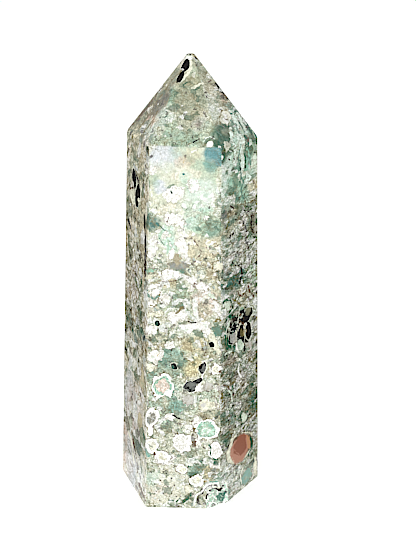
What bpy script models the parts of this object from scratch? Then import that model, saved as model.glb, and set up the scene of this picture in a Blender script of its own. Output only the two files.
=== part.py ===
"""Rainforest rhyolite point: one polished, hand-cut stone that stands on its flat base.

The stone is made the way a lapidary makes it. A rough block is ground to six side facets that
lean in a little, then to six tip facets that meet in a point, the sharp edges are eased, and the
natural hollows of the rock are left open where the facets cut through them.

Metres, +Z up. The widest facet faces -Y, and the origin is the middle of the base.
"""

import math
from dataclasses import dataclass

import bmesh
import bpy
from mathutils import Matrix, Vector, noise

MM = 0.001

TIP_HEIGHT = 95.0 * MM
APEX = Vector((0.0, 0.5, 96.0)) * MM
EASED_EDGE = 0.34 * MM
EASED_EDGE_STEPS = 2
BLOCK_SIDE = 60.0 * MM
BLOCK_HEIGHT = 120.0 * MM
SAME_POINT = 0.01 * MM
SHARP_FROM = math.radians(12)
LUMP_SUBDIVISIONS = 3
LUMP_ROUGHNESS = 0.30
LUMP_DETAIL = 1.6
WALL_STEEPNESS = 1.5
STONE_COLOUR = (0.42, 0.46, 0.37, 1.0)
STONE_ROUGHNESS = 0.2


@dataclass(frozen=True)
class Facet:
    """A side facet, named for where it lies as the front facet is faced."""

    name: str
    azimuth: float  # degrees round from the front towards +X
    foot: float  # from the axis to the facet's foot, in millimetres
    lean: float  # degrees that it leans in towards the tip
    shoulder: float  # height of its right-hand upper corner, in millimetres


@dataclass(frozen=True)
class Hollow:
    """A natural hollow of the rock, opened by a facet. Sizes are in millimetres."""

    name: str
    facet: str
    on_tip: bool
    across: float  # from the facet's middle line, to the right as it is faced
    height: float
    width: float
    length: float
    depth: float
    turn: float  # degrees that its length is turned clockwise from upright


FACETS = (
    Facet("left", -66.5, 13.45, 1.4, 79.1),
    Facet("front", 0.0, 14.0, 1.5, 78.85),
    Facet("right", 59.0, 13.6, 1.3, 78.7),
    Facet("back_right", 121.0, 13.6, 1.4, 79.4),
    Facet("back", 179.0, 13.7, 1.4, 78.9),
    Facet("back_left", 240.0, 13.7, 1.4, 79.3),
)

# The corner between the front and right facets, faced square on: the base hollow breaks through it.
FRONT_RIGHT_CORNER = Facet("front_right_corner", 28.0, 15.45, 1.4, 78.85)

HOLLOWS = (
    Hollow("tip_vug_top", "front", True, -0.95, 93.0, 1.5, 3.0, 1.0, 18.0),
    Hollow("tip_vug_foot", "front", True, -1.85, 91.0, 1.1, 3.0, 0.9, 26.0),
    Hollow("tip_chip", "right", True, 0.5, 94.3, 0.8, 0.9, 0.3, 0.0),
    Hollow("left_vug_top", "left", False, -0.9, 70.5, 2.6, 3.8, 1.1, -12.0),
    Hollow("left_vug_foot", "left", False, 1.4, 67.4, 2.7, 5.0, 1.2, 16.0),
    Hollow("right_vug_spine", "right", False, 0.6, 38.9, 3.3, 9.4, 1.9, 4.0),
    Hollow("right_vug_wing", "right", False, 3.0, 41.2, 4.6, 2.9, 1.5, -14.0),
    Hollow("right_vug_pocket", "right", False, -2.6, 39.0, 2.9, 5.2, 1.3, 30.0),
    Hollow("right_vug_toe", "right", False, 3.6, 37.4, 2.3, 4.6, 1.3, -12.0),
    Hollow("front_vug", "front", False, 0.75, 28.7, 2.6, 2.5, 1.2, 0.0),
    Hollow("front_vug_arm", "front", False, 2.3, 29.9, 1.1, 2.7, 0.8, 58.0),
    Hollow("front_vug_islet", "front", False, 3.35, 33.0, 1.4, 2.6, 0.8, 16.0),
    Hollow("teal_pit", "front", False, -2.5, 33.2, 1.2, 1.5, 0.6, -30.0),
    Hollow("left_pit", "front", False, -5.9, 42.6, 1.1, 1.1, 0.7, 0.0),
    Hollow("right_pit", "front", False, 5.2, 38.2, 1.1, 1.2, 0.7, 0.0),
    Hollow("base_vug", "front_right_corner", False, 0.8, 1.2, 10.6, 9.2, 1.15, 0.0),
    Hollow("back_vug", "back", False, -1.6, 52.0, 3.2, 6.0, 1.5, 14.0),
    Hollow("back_vug_arm", "back", False, 1.0, 50.2, 1.6, 4.0, 1.0, -38.0),
    Hollow("back_right_vug", "back_right", False, 1.4, 24.0, 4.0, 4.2, 1.4, -20.0),
    Hollow("back_right_pit", "back_right", False, -3.4, 63.0, 1.3, 1.6, 0.7, 0.0),
    Hollow("back_left_vug", "back_left", False, -0.8, 60.5, 2.5, 4.2, 1.2, 10.0),
    Hollow("back_left_pit", "back_left", False, 2.6, 21.5, 1.4, 1.7, 0.8, 0.0),
)


def clear_scene():
    """Removes the startup scene's objects."""
    for old in list(bpy.data.objects):
        bpy.data.objects.remove(old)


def outward(azimuth, rise):
    """The direction that faces an azimuth and tilts up by rise, both in degrees."""
    round_axis, up = math.radians(azimuth), math.radians(rise)
    level = Vector((math.sin(round_axis), -math.cos(round_axis), 0.0))
    return level * math.cos(up) + Vector((0.0, 0.0, math.sin(up)))


def side_plane(facet):
    """A point on a side facet, and the direction that the facet faces."""
    return outward(facet.azimuth, 0.0) * facet.foot * MM, outward(facet.azimuth, facet.lean)


def edge_point(first, second, height):
    """Where the edge between two neighbouring side facets reaches a height."""
    rows, reaches = [], []
    for facet in (first, second):
        foot, facing = side_plane(facet)
        rows.append(facing)
        reaches.append(facing.dot(foot))
    rows.append(Vector((0.0, 0.0, 1.0)))
    reaches.append(height)
    return Matrix(rows).inverted() @ Vector(reaches)


def shoulder_corners():
    """The corners where the sides meet the tip, each at the right of its own facet."""
    neighbours = FACETS[1:] + FACETS[:1]
    return [
        edge_point(facet, neighbour, facet.shoulder * MM)
        for facet, neighbour in zip(FACETS, neighbours)
    ]


def tip_planes():
    """A point on each tip facet, and the direction that the tip facet faces."""
    right_corners = shoulder_corners()
    left_corners = right_corners[-1:] + right_corners[:-1]
    return [
        (APEX, (right - left).cross(APEX - left).normalized())
        for left, right in zip(left_corners, right_corners)
    ]


def grind(rough, point, facing):
    """Cuts away what lies beyond a plane, and closes the stone with a flat facet."""
    whole = rough.verts[:] + rough.edges[:] + rough.faces[:]
    cut = bmesh.ops.bisect_plane(
        rough, geom=whole, plane_co=point, plane_no=facing, dist=SAME_POINT, clear_outer=True
    )
    rim = [piece for piece in cut["geom_cut"] if isinstance(piece, bmesh.types.BMEdge)]
    bmesh.ops.contextual_create(rough, geom=rim)


def base_middle():
    """The middle of the base's box, which becomes the origin."""
    corners = [edge_point(FACETS[place - 1], FACETS[place], 0.0) for place in range(len(FACETS))]
    spans = [[corner[axis] for corner in corners] for axis in range(2)]
    return Vector([(min(span) + max(span)) / 2 for span in spans] + [0.0])


def cut_block(middle):
    """The stone with plain sharp facets, as a mesh whose base is centred on the origin."""
    rough = bmesh.new()
    placing = Matrix.Translation((0.0, 0.0, BLOCK_HEIGHT / 2))
    sizes = Matrix.Diagonal((BLOCK_SIDE, BLOCK_SIDE, BLOCK_HEIGHT, 1.0))
    bmesh.ops.create_cube(rough, size=1.0, matrix=placing @ sizes)
    for facet in FACETS:
        grind(rough, *side_plane(facet))
    for point, facing in tip_planes():
        grind(rough, point, facing)
    grind(rough, Vector((0.0, 0.0, TIP_HEIGHT)), Vector((0.0, 0.0, 1.0)))
    bmesh.ops.remove_doubles(rough, verts=rough.verts[:], dist=SAME_POINT)
    bmesh.ops.recalc_face_normals(rough, faces=rough.faces[:])
    bmesh.ops.translate(rough, verts=rough.verts[:], vec=-middle)
    mesh = bpy.data.meshes.new("stone")
    rough.to_mesh(mesh)
    rough.free()
    return mesh


def stone_material():
    """A polished grey-green stone."""
    material = bpy.data.materials.new("rhyolite")
    material.use_nodes = True
    surface = material.node_tree.nodes["Principled BSDF"]
    surface.inputs["Base Color"].default_value = STONE_COLOUR
    surface.inputs["Roughness"].default_value = STONE_ROUGHNESS
    surface.inputs["Metallic"].default_value = 0.0
    return material


def facet_frame(hollow, middle):
    """Places a hollow: X across its facet, Y out of the stone, Z down its length."""
    faces = FACETS + (FRONT_RIGHT_CORNER,)
    index = [facet.name for facet in faces].index(hollow.facet)
    facet = faces[index]
    point, facing = tip_planes()[index] if hollow.on_tip else side_plane(facet)
    across = outward(facet.azimuth + 90.0, 0.0)
    level = outward(facet.azimuth, 0.0)
    start = across * hollow.across * MM + Vector((0.0, 0.0, hollow.height * MM))
    reach = facing.dot(point - start) / facing.dot(level)
    place = start + level * reach - middle
    axes = Matrix((across, facing, across.cross(facing))).transposed().to_4x4()
    return Matrix.Translation(place) @ axes @ Matrix.Rotation(-math.radians(hollow.turn), 4, "Y")


def add_cutter(hollow, middle, collection):
    """A lumpy solid, steep at the sides and flatter at the floor, that opens one hollow."""
    lump = bmesh.new()
    bmesh.ops.create_icosphere(lump, subdivisions=LUMP_SUBDIVISIONS, radius=1.0)
    seed = Vector((hollow.across, hollow.height, hollow.width * 7.0))
    for corner in lump.verts:
        swell = noise.noise(corner.co * LUMP_DETAIL + seed)
        corner.co.y = max(-1.0, min(1.0, corner.co.y * WALL_STEEPNESS))
        corner.co *= 1.0 + LUMP_ROUGHNESS * swell
    half = Matrix.Diagonal((hollow.width / 2 * MM, hollow.depth * MM, hollow.length / 2 * MM, 1.0))
    bmesh.ops.transform(lump, matrix=half, verts=lump.verts[:])
    bmesh.ops.recalc_face_normals(lump, faces=lump.faces[:])
    mesh = bpy.data.meshes.new(hollow.name)
    lump.to_mesh(mesh)
    lump.free()
    cutter = bpy.data.objects.new(hollow.name, mesh)
    cutter.matrix_world = facet_frame(hollow, middle)
    cutter.hide_render = True
    cutter.display_type = "WIRE"
    collection.objects.link(cutter)
    return cutter


def new_collection(name):
    """A collection of its own in the scene."""
    collection = bpy.data.collections.new(name)
    bpy.context.scene.collection.children.link(collection)
    return collection


def build():
    """Cuts the stone, eases its edges and opens its hollows."""
    clear_scene()
    parts = new_collection("rainforest_rhyolite_point")
    cutters = new_collection("cutters")
    middle = base_middle()
    stone = bpy.data.objects.new("stone", cut_block(middle))
    stone.data.materials.append(stone_material())
    parts.objects.link(stone)
    ease = stone.modifiers.new("eased edges", "BEVEL")
    ease.width = EASED_EDGE
    ease.segments = EASED_EDGE_STEPS
    ease.limit_method = "ANGLE"
    ease.angle_limit = SHARP_FROM
    for hollow in HOLLOWS:
        opening = stone.modifiers.new(hollow.name, "BOOLEAN")
        opening.operation = "DIFFERENCE"
        opening.solver = "MANIFOLD"
        opening.object = add_cutter(hollow, middle, cutters)


build()
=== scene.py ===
"""Looks of the rainforest rhyolite point.

The stone is one piece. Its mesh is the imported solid, refined until the rock's markings can be
painted on its corners: soft patches of colour, hard-edged blotches, ringed spherulites and thin
strokes. The material turns them into crisp outlines and adds the fine grain of the rock between
them. Small quartz crystals line the open hollows.
"""
import logging
import math
import random
from collections.abc import Sequence
from dataclasses import dataclass, field
from enum import Enum
from functools import partial, reduce
from itertools import starmap

import bmesh
import bpy
import numpy as np
from bpy.types import Material, Mesh, NodeTree, Object
from mathutils import Matrix, Vector, kdtree, noise
from mathutils.bvhtree import BVHTree
from mathutils.geometry import delaunay_2d_cdt


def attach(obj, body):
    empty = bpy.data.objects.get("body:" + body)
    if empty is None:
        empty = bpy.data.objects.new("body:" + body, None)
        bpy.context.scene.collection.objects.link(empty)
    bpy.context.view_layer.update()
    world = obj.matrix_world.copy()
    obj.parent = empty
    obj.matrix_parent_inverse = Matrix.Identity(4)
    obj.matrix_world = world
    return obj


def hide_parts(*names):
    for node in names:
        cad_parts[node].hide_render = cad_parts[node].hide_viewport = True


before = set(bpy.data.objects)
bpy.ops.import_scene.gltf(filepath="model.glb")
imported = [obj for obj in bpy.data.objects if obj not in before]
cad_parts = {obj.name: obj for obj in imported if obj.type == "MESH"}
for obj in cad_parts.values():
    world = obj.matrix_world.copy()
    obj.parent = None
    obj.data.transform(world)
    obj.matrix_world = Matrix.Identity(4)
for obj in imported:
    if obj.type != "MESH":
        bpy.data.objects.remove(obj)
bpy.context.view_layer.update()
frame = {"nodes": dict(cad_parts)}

MM = 0.001
FAR = 50.0
WANDER_SEED = 1795815493
LOG = logging.getLogger("rhyolite_point")
Colour = tuple[float, float, float, float]
Pixel = tuple[float, float]
Array = np.ndarray
Socket = bpy.types.NodeSocket


def linear(steps: tuple[int, int, int]) -> Colour:
    """Turns a colour of 0 to 255 steps into the linear values that a shader takes.

    Args:
        steps: Red, green and blue as they look on a screen.

    Returns:
        Red, green, blue and a full alpha.
    """
    shares = [step / 255.0 for step in steps]
    curved = [s / 12.92 if s <= 0.04045 else ((s + 0.055) / 1.055) ** 2.4 for s in shares]
    return (*curved, 1.0)


class Mineral(Enum):
    """The colours of the rock, named for what they look like."""

    WHITE = (252, 253, 248)
    CREAM = (238, 238, 216)
    PEARL = (222, 235, 217)
    BEIGE = (210, 200, 170)
    YELLOW = (222, 210, 162)
    TAN = (192, 176, 134)
    PALE_DUN = (244, 236, 212)
    PALE_OLIVE = (224, 232, 212)
    PALE_SAGE = (217, 222, 198)
    OLIVE_GREY = (150, 150, 120)
    OLIVE = (112, 102, 58)
    DUN = (176, 168, 140)
    GREY = (138, 142, 136)
    SAGE = (166, 192, 164)
    ICE = (230, 247, 236)
    MINT = (194, 228, 206)
    TEAL = (114, 162, 148)
    SEA_BLUE = (78, 138, 142)
    DEEP_TEAL = (38, 102, 94)
    DEEP_GREEN = (14, 80, 54)
    MAUVE = (146, 128, 126)
    LILAC = (198, 197, 190)
    LAVENDER = (212, 218, 226)
    ROSE = (222, 188, 166)
    BLUSH = (234, 214, 200)
    SEA_GREEN = (146, 194, 170)
    FERN = (92, 130, 114)
    SLATE = (92, 92, 90)
    BROWN = (92, 72, 52)
    UMBER = (52, 44, 36)
    BLACK = (20, 18, 17)
    JASPER = (148, 94, 74)
    BRICK = (182, 132, 110)
    AMBER = (190, 140, 102)

    @property
    def colour(self) -> Colour:
        """The mineral's linear colour."""
        return linear(self.value)


M = Mineral  # a short name for the rows of markings
Value = float | Sequence[float] | Mineral | Socket
Feeds = Sequence[Value] | dict[str | int, Value]


class Layer(Enum):
    """Which markings lie over which."""

    BROAD = "broad"
    FINE = "fine"
    DEEP = "deep"  # on the walls of the hollows


@dataclass(frozen=True)
class Mark:
    """A marking's place on the photograph, in its pixels."""

    name: str
    at: Pixel
    half: Pixel  # half its width and half its height
    turn = 0.0  # degrees clockwise
    facet = False  # whether it keeps to its own facet


@dataclass(frozen=True)
class Patch(Mark):
    """A soft patch of colour."""

    mineral: Mineral
    strength: float = 0.85
    turn: float = 0.0
    facet: bool = False


@dataclass(frozen=True)
class Zone(Mark):
    """A stretch where the rock holds more or fewer cream cells and dark lines."""

    cream: float
    dark: float
    facet: bool = False


@dataclass(frozen=True)
class Blob(Mark):
    """A hard-edged blotch."""

    mineral: Mineral
    turn: float = 0.0
    wobble: float = 0.35
    layer: Layer = Layer.BROAD


@dataclass(frozen=True)
class Orb(Mark):
    """A spherulite, cut open by the facet: a core, a shell and a pale rim."""

    core: Mineral
    shell: Mineral
    turn: float = 0.0


@dataclass(frozen=True)
class Stroke:
    """A thin hard-edged line through a few points of the photograph."""

    name: str
    mineral: Mineral
    width: float
    route: tuple[Pixel, ...]
    wobble: float = 0.3
    layer: Layer = Layer.FINE


PATCHES: tuple[Patch, ...] = tuple(starmap(Patch, (
    ("right top mint", (239, 150), (13, 40), M.MINT, 0.95),
    ("right top band", (226, 168), (4, 20), M.ICE, 0.8),
    ("tip grey heart", (190, 108), (18, 16), M.PALE_DUN, 0.5),
    ("tip top", (194, 78), (9, 14), M.SAGE, 0.5, -20),
    ("tip teal", (171, 96), (6, 9), M.SEA_GREEN, 0.95),
    ("tip sage foot", (182, 137), (16, 7), M.TEAL, 0.6),
    ("tip belt", (172, 128), (8, 7), M.SAGE, 0.6),
    ("tip orb", (164, 117), (8, 10), M.PEARL, 0.95),
    ("tip orb foot", (153, 131), (7, 8), M.PEARL, 0.9, 30),
    ("tip lilac", (199, 124), (7, 6), M.LILAC, 0.9),
    ("tip lilac heart", (198, 124), (3, 3), M.MAUVE, 0.7),
    ("tip arc", (178, 108), (10, 3), M.MAUVE, 0.5, -8),
    ("tip olive", (183, 122), (6, 7), M.PALE_OLIVE, 0.6),
    ("tip cream", (204, 99), (6, 7), M.PEARL, 0.9, 20),
    ("tip edge", (214, 100), (4, 7), M.CREAM, 0.6, -30),
    # painted shade: an olive-grey wash kept to the tip's front facet, which darkens that whole facet as if
    # less light fell on it
    ("tip shade", (188, 92), (18, 30), M.OLIVE_GREY, 0.75, 0, True),
    ("left tip", (148, 104), (9, 36), M.OLIVE_GREY, 0.95, 40),
    ("left tip shade", (150, 108), (7, 30), M.OLIVE, 0.4, 40),
    ("left tip foot", (133, 134), (8, 10), M.OLIVE_GREY, 0.8, 30),
    ("tip streak", (158, 107), (4.5, 19), M.BROWN, 0.8, 35),
    ("tip streak top", (165, 96), (3, 6), M.UMBER, 0.5, 30),
    ("tip streak foot", (151, 122), (4, 6), M.ROSE, 0.8, 30),
    ("right tip brown", (206, 77), (5, 18), M.OLIVE, 0.6, -38),
    ("right tip", (216, 92), (6, 16), M.DUN, 0.8, -38),
    ("right tip rose", (224, 98), (3, 6), M.ROSE, 0.8, -38),
    ("right tip pale", (214, 92), (4, 6), M.CREAM, 0.6, -38),
    ("right tip teal", (232, 112), (9, 5), M.TEAL, 0.8, 40),
    ("right tip olive", (219, 128), (7, 6), M.OLIVE_GREY, 0.8),
    ("right tip edge green", (251, 127), (5, 17), M.DEEP_TEAL, 1, -34),
    ("right tip mint", (238, 124), (7, 14), M.MINT, 0.8, -10),
    ("right tip orb", (225.5, 119), (7, 10), M.CREAM, 1),
    ("right tip green", (222, 140), (11, 19), M.DEEP_GREEN, 1),
    ("right tip low", (223, 148), (6, 8), M.DEEP_GREEN, 0.9),
    ("right tip heart", (222, 141), (9, 13), M.DEEP_GREEN, 1),
    ("left upper dun", (137, 180), (8, 60), M.BEIGE, 0.6),
    ("left middle", (143, 265), (4, 60), M.DUN, 0.5),
    ("left middle rose", (127, 235), (5, 50), M.ROSE, 0.35),
    ("left pale cell", (138, 246), (4, 12), M.BEIGE, 0.5),
    ("left teal", (130, 323), (4, 9), M.DEEP_TEAL, 0.7),
    ("left low grey", (138, 350), (7, 22), M.GREY, 0.4),
    ("left low lilac", (133, 428), (9, 48), M.LAVENDER, 0.9),
    ("left low blush", (134, 424), (8, 48), M.BLUSH, 0.6),
    ("left foot rose", (127, 452), (6, 44), M.BLUSH, 1),
    ("left foot lilac", (132, 468), (5, 26), M.LAVENDER, 0.7),
    ("left foot dark", (141, 478), (4, 30), M.SLATE, 0.6, -6),
    # painted shade: darker sage strips kept to the foot of the tip's front facet, so that it reads darker
    # than the sheen on the front facet below
    ("tip foot shade", (176, 142), (30, 6), M.SAGE, 0.6, 0, True),
    ("tip foot shade right", (206, 132), (12, 9), M.SAGE, 0.4, 0, True),
    # partly the rock's own colours and partly painted reflection: the facet-bound patches from here to "front
    # lavender" are paled and turned bluish ("front top", "front lavender") where the sheen veils the rock,
    # and stop at the facet's edge as the sheen does
    ("front haze sage", (196, 176), (26, 24), M.SAGE, 0.62, 0, True),
    ("front top", (163, 156), (17, 14), M.LAVENDER, 0.85, 0, True),
    ("front top olive", (172, 172), (12, 8), M.PALE_OLIVE, 0.7, -20, True),
    ("front top grey", (184, 156), (13, 9), M.SAGE, 0.5, 0, True),
    ("front top tan", (191, 154), (10, 7), M.BEIGE, 0.55, 0, True),
    ("front top rose", (184, 163), (7, 6), M.ROSE, 0.45, 0, True),
    ("front haze shade", (166, 176), (18, 14), M.PALE_SAGE, 0.55, 0, True),
    ("front top dun", (186, 174), (12, 6), M.PALE_DUN, 0.6),
    ("front heart", (184, 177), (6, 5), M.MINT, 0.6),
    ("teal corner", (212.5, 157), (9.5, 12), M.SEA_BLUE, 1, 10, True),
    ("teal corner top", (215, 151), (7, 5), M.SEA_BLUE, 0.9, 0, True),
    ("corner foot", (210, 167), (6, 6), M.TEAL, 0.9),
    ("front yellow edge", (219.5, 184), (3, 14), M.CREAM, 0.7, 0, True),
    ("front upper mint", (200, 200), (20, 22), M.ICE, 0.6, -30),
    ("front upper sage", (192, 206), (18, 4), M.SAGE, 0.5, -35),
    ("front upper sage low", (203, 212), (15, 3.5), M.SEA_GREEN, 0.6, -30),
    ("front lavender", (161, 187), (7, 6), M.LAVENDER, 0.9, 0, True),
    ("front grey wisp", (152, 179), (6, 8), M.SAGE, 0.45, -30),
    ("front upper teal", (152, 223), (7, 8), M.DEEP_TEAL, 0.9),
    ("front tan wisp", (166, 209), (9, 4), M.PALE_DUN, 0.7, -20),
    ("front sage", (210, 227), (14, 10), M.SAGE, 1, -20),
    ("front deep sage", (213, 231), (9, 9), M.FERN, 0.6, -20),
    ("front sage twin", (158, 233), (5, 4), M.OLIVE_GREY, 0.6),
    ("front olive wisp", (192, 224), (9, 7), M.MINT, 0.7, -30),
    ("front network", (169, 240), (8, 16), M.MINT, 0.95, -15),
    ("front beige", (205, 253), (18, 18), M.BEIGE),
    ("front right", (214, 284), (9, 14), M.BEIGE, 0.8),
    ("front belt", (166, 283), (14, 5), M.TAN, 0.7, -8),
    ("front green belt", (184, 300), (16, 14), M.SAGE, 0.7),
    ("front deep belt", (182, 303), (9, 9), M.DEEP_TEAL, 0.4),
    ("front knot", (157, 303), (8, 6), M.OLIVE, 0.5),
    ("front rose", (204, 304), (11, 13), M.BLUSH, 1),
    ("front dun", (203, 313), (7, 10), M.DUN, 0.7),
    ("front left", (157, 340), (12, 8), M.DUN, 0.7),
    ("tan bay", (195, 345), (12, 9), M.TAN, 0.75),
    ("tan bay foot", (191, 365), (9, 16), M.YELLOW, 0.95),
    ("teal bay", (172, 361), (14, 14), M.TEAL, 0.75),
    ("bay left", (151, 377), (6, 7), M.TEAL, 0.8),
    ("teal column", (175, 398), (9, 17), M.TEAL),
    ("column foot", (168, 415), (11, 12), M.TEAL, 0.5),
    ("front low sage", (155, 402), (8, 8), M.TEAL, 0.6),
    ("front low shade", (202, 399), (14, 13), M.SEA_GREEN, 0.3),
    ("front low dun", (208, 416), (14, 6), M.DUN, 0.7),
    ("front green notch", (208, 354), (6, 9), M.OLIVE, 0.4),
    ("foot teal", (195, 468), (10, 9), M.TEAL),
    ("foot tan", (208, 475), (5, 9), M.TAN, 0.9),
    ("foot grey", (215, 474), (5, 7), M.GREY, 0.8),
    ("foot cream", (165, 486), (20, 22), M.CREAM, 0.9),
    ("foot dun", (158, 487), (10, 12), M.BLUSH, 0.5),
    ("foot mint", (153, 478), (7, 9), M.MINT, 0.6),
    ("right top green", (251, 147), (6, 12), M.DEEP_GREEN, 0.9),
    ("right top green low", (247, 162), (4, 8), M.DEEP_TEAL, 0.7),
    ("right grey", (227, 190), (5, 16), M.MINT, 0.7),
    ("right foot", (240, 186), (9, 20), M.SEA_GREEN, 0.9),
    ("right stripe", (235, 186), (3, 18), M.DEEP_GREEN, 0.6),
    ("right tan orb", (253, 187), (5, 8), M.BEIGE, 0.95),
    ("right dun", (235, 217), (8, 11), M.DUN, 0.9, 20),
    ("right dun foot", (228, 234), (6, 8), M.DUN, 0.7, 20),
    ("right dark speckle", (250, 226), (9, 24), M.OLIVE, 0.35),
    ("right dark oval", (226, 219), (4, 8), M.SLATE, 1),
    ("right sage", (230, 246), (8, 10), M.MINT, 0.8, 25),
    ("right sage foot", (240, 256), (6, 12), M.SAGE, 0.6),
    ("right middle pale", (240, 272), (14, 34), M.PEARL, 0.8),
    ("right mauve", (226, 268), (5, 11), M.MAUVE, 0.8),
    ("right pale green", (251, 273), (6, 12), M.SAGE, 0.8),
    ("right deep green", (232, 282), (7, 15), M.DEEP_TEAL, 1, 38),
    ("right lilac", (232, 292), (5, 5), M.MAUVE, 0.7),
    ("right cells", (230, 305), (8, 9), M.PEARL, 0.7),
    ("right brown net", (246, 294), (9, 9), M.DUN, 0.6),
    ("vug surround top", (228, 317), (5, 4), M.DEEP_GREEN, 0.8),
    ("vug surround", (229, 343), (5, 9), M.DEEP_GREEN, 0.8),
    ("vug teal", (233, 349), (4, 3), M.TEAL, 0.9),
    ("right low brown", (231, 363), (7, 11), M.MAUVE, 0.45, 15),
    ("right low pale", (243, 369), (4, 8), M.PEARL, 0.9, 15),
    ("right low cream", (256, 362), (3, 7), M.CREAM, 0.9),
    ("right low edge", (254, 384), (5, 7), M.MAUVE, 0.8),
    ("right edge green", (254, 399), (6, 12), M.DEEP_TEAL, 0.9),
    ("right cell", (226, 399), (5, 7), M.GREY, 0.8),
    ("right low teal", (232, 418), (10, 9), M.DEEP_TEAL, 0.7),
    ("right foot green", (226, 436), (7, 8), M.DEEP_GREEN, 0.9),
    ("right foot cream", (229, 479), (12, 10), M.PEARL),
    ("right foot grey", (252, 455), (6, 14), M.SAGE, 0.6, 20),
)))

ZONES: tuple[Zone, ...] = tuple(starmap(Zone, (
    ("tip", (185, 105), (42, 45), 0.03, 0.3),
    ("left facet", (135, 300), (14, 210), 0.1, 0.66),
    ("left upper", (135, 190), (14, 60), 0.1, 0.5),
    ("left low", (133, 440), (14, 80), 0.18, 0.3),
    # painted reflection: hardly any cream cells or dark lines where the sheen on the top of the front facet
    # veils the rock, kept to that facet
    ("front haze", (182, 175), (45, 34), 0.04, 0.05, True),
    ("right tip orb", (225.5, 119), (6, 9), 0.3, 0.12),
    ("right tip green", (222, 140), (9, 13), 0, 0),
    ("teal corner", (212, 157), (12, 14), 0, 0.04, True),
    ("front upper", (182, 232), (45, 26), 0.12, 0.18),
    ("front sage", (211, 229), (13, 11), 0.03, 0.3),
    ("front upper teal", (152, 223), (8, 9), 0, 0.4),
    ("front middle", (182, 300), (45, 30), 0.34, 0.36),
    ("front rose", (204, 305), (11, 13), 0.08, 0.3),
    ("front low", (182, 380), (45, 45), 0.12, 0.48),
    ("front foot", (182, 465), (45, 40), 0.16, 0.48),
    ("teal bay", (172, 358), (14, 15), 0.02, 0.4),
    ("teal column", (175, 399), (10, 18), 0.02, 0.46),
    ("tan bay", (194, 356), (12, 22), 0.04, 0.38),
    ("foot cream", (164, 486), (18, 20), 0.06, 0.26),
    ("right top", (238, 165), (20, 36), 0.06, 0.26),
    ("right upper", (238, 215), (20, 20), 0.08, 0.5),
    ("right dark edge", (250, 225), (9, 26), 0.25, 0.8),
    ("right middle", (238, 265), (20, 30), 0.22, 0.68),
    ("right low", (240, 390), (20, 66), 0.12, 0.8),
)))

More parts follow.
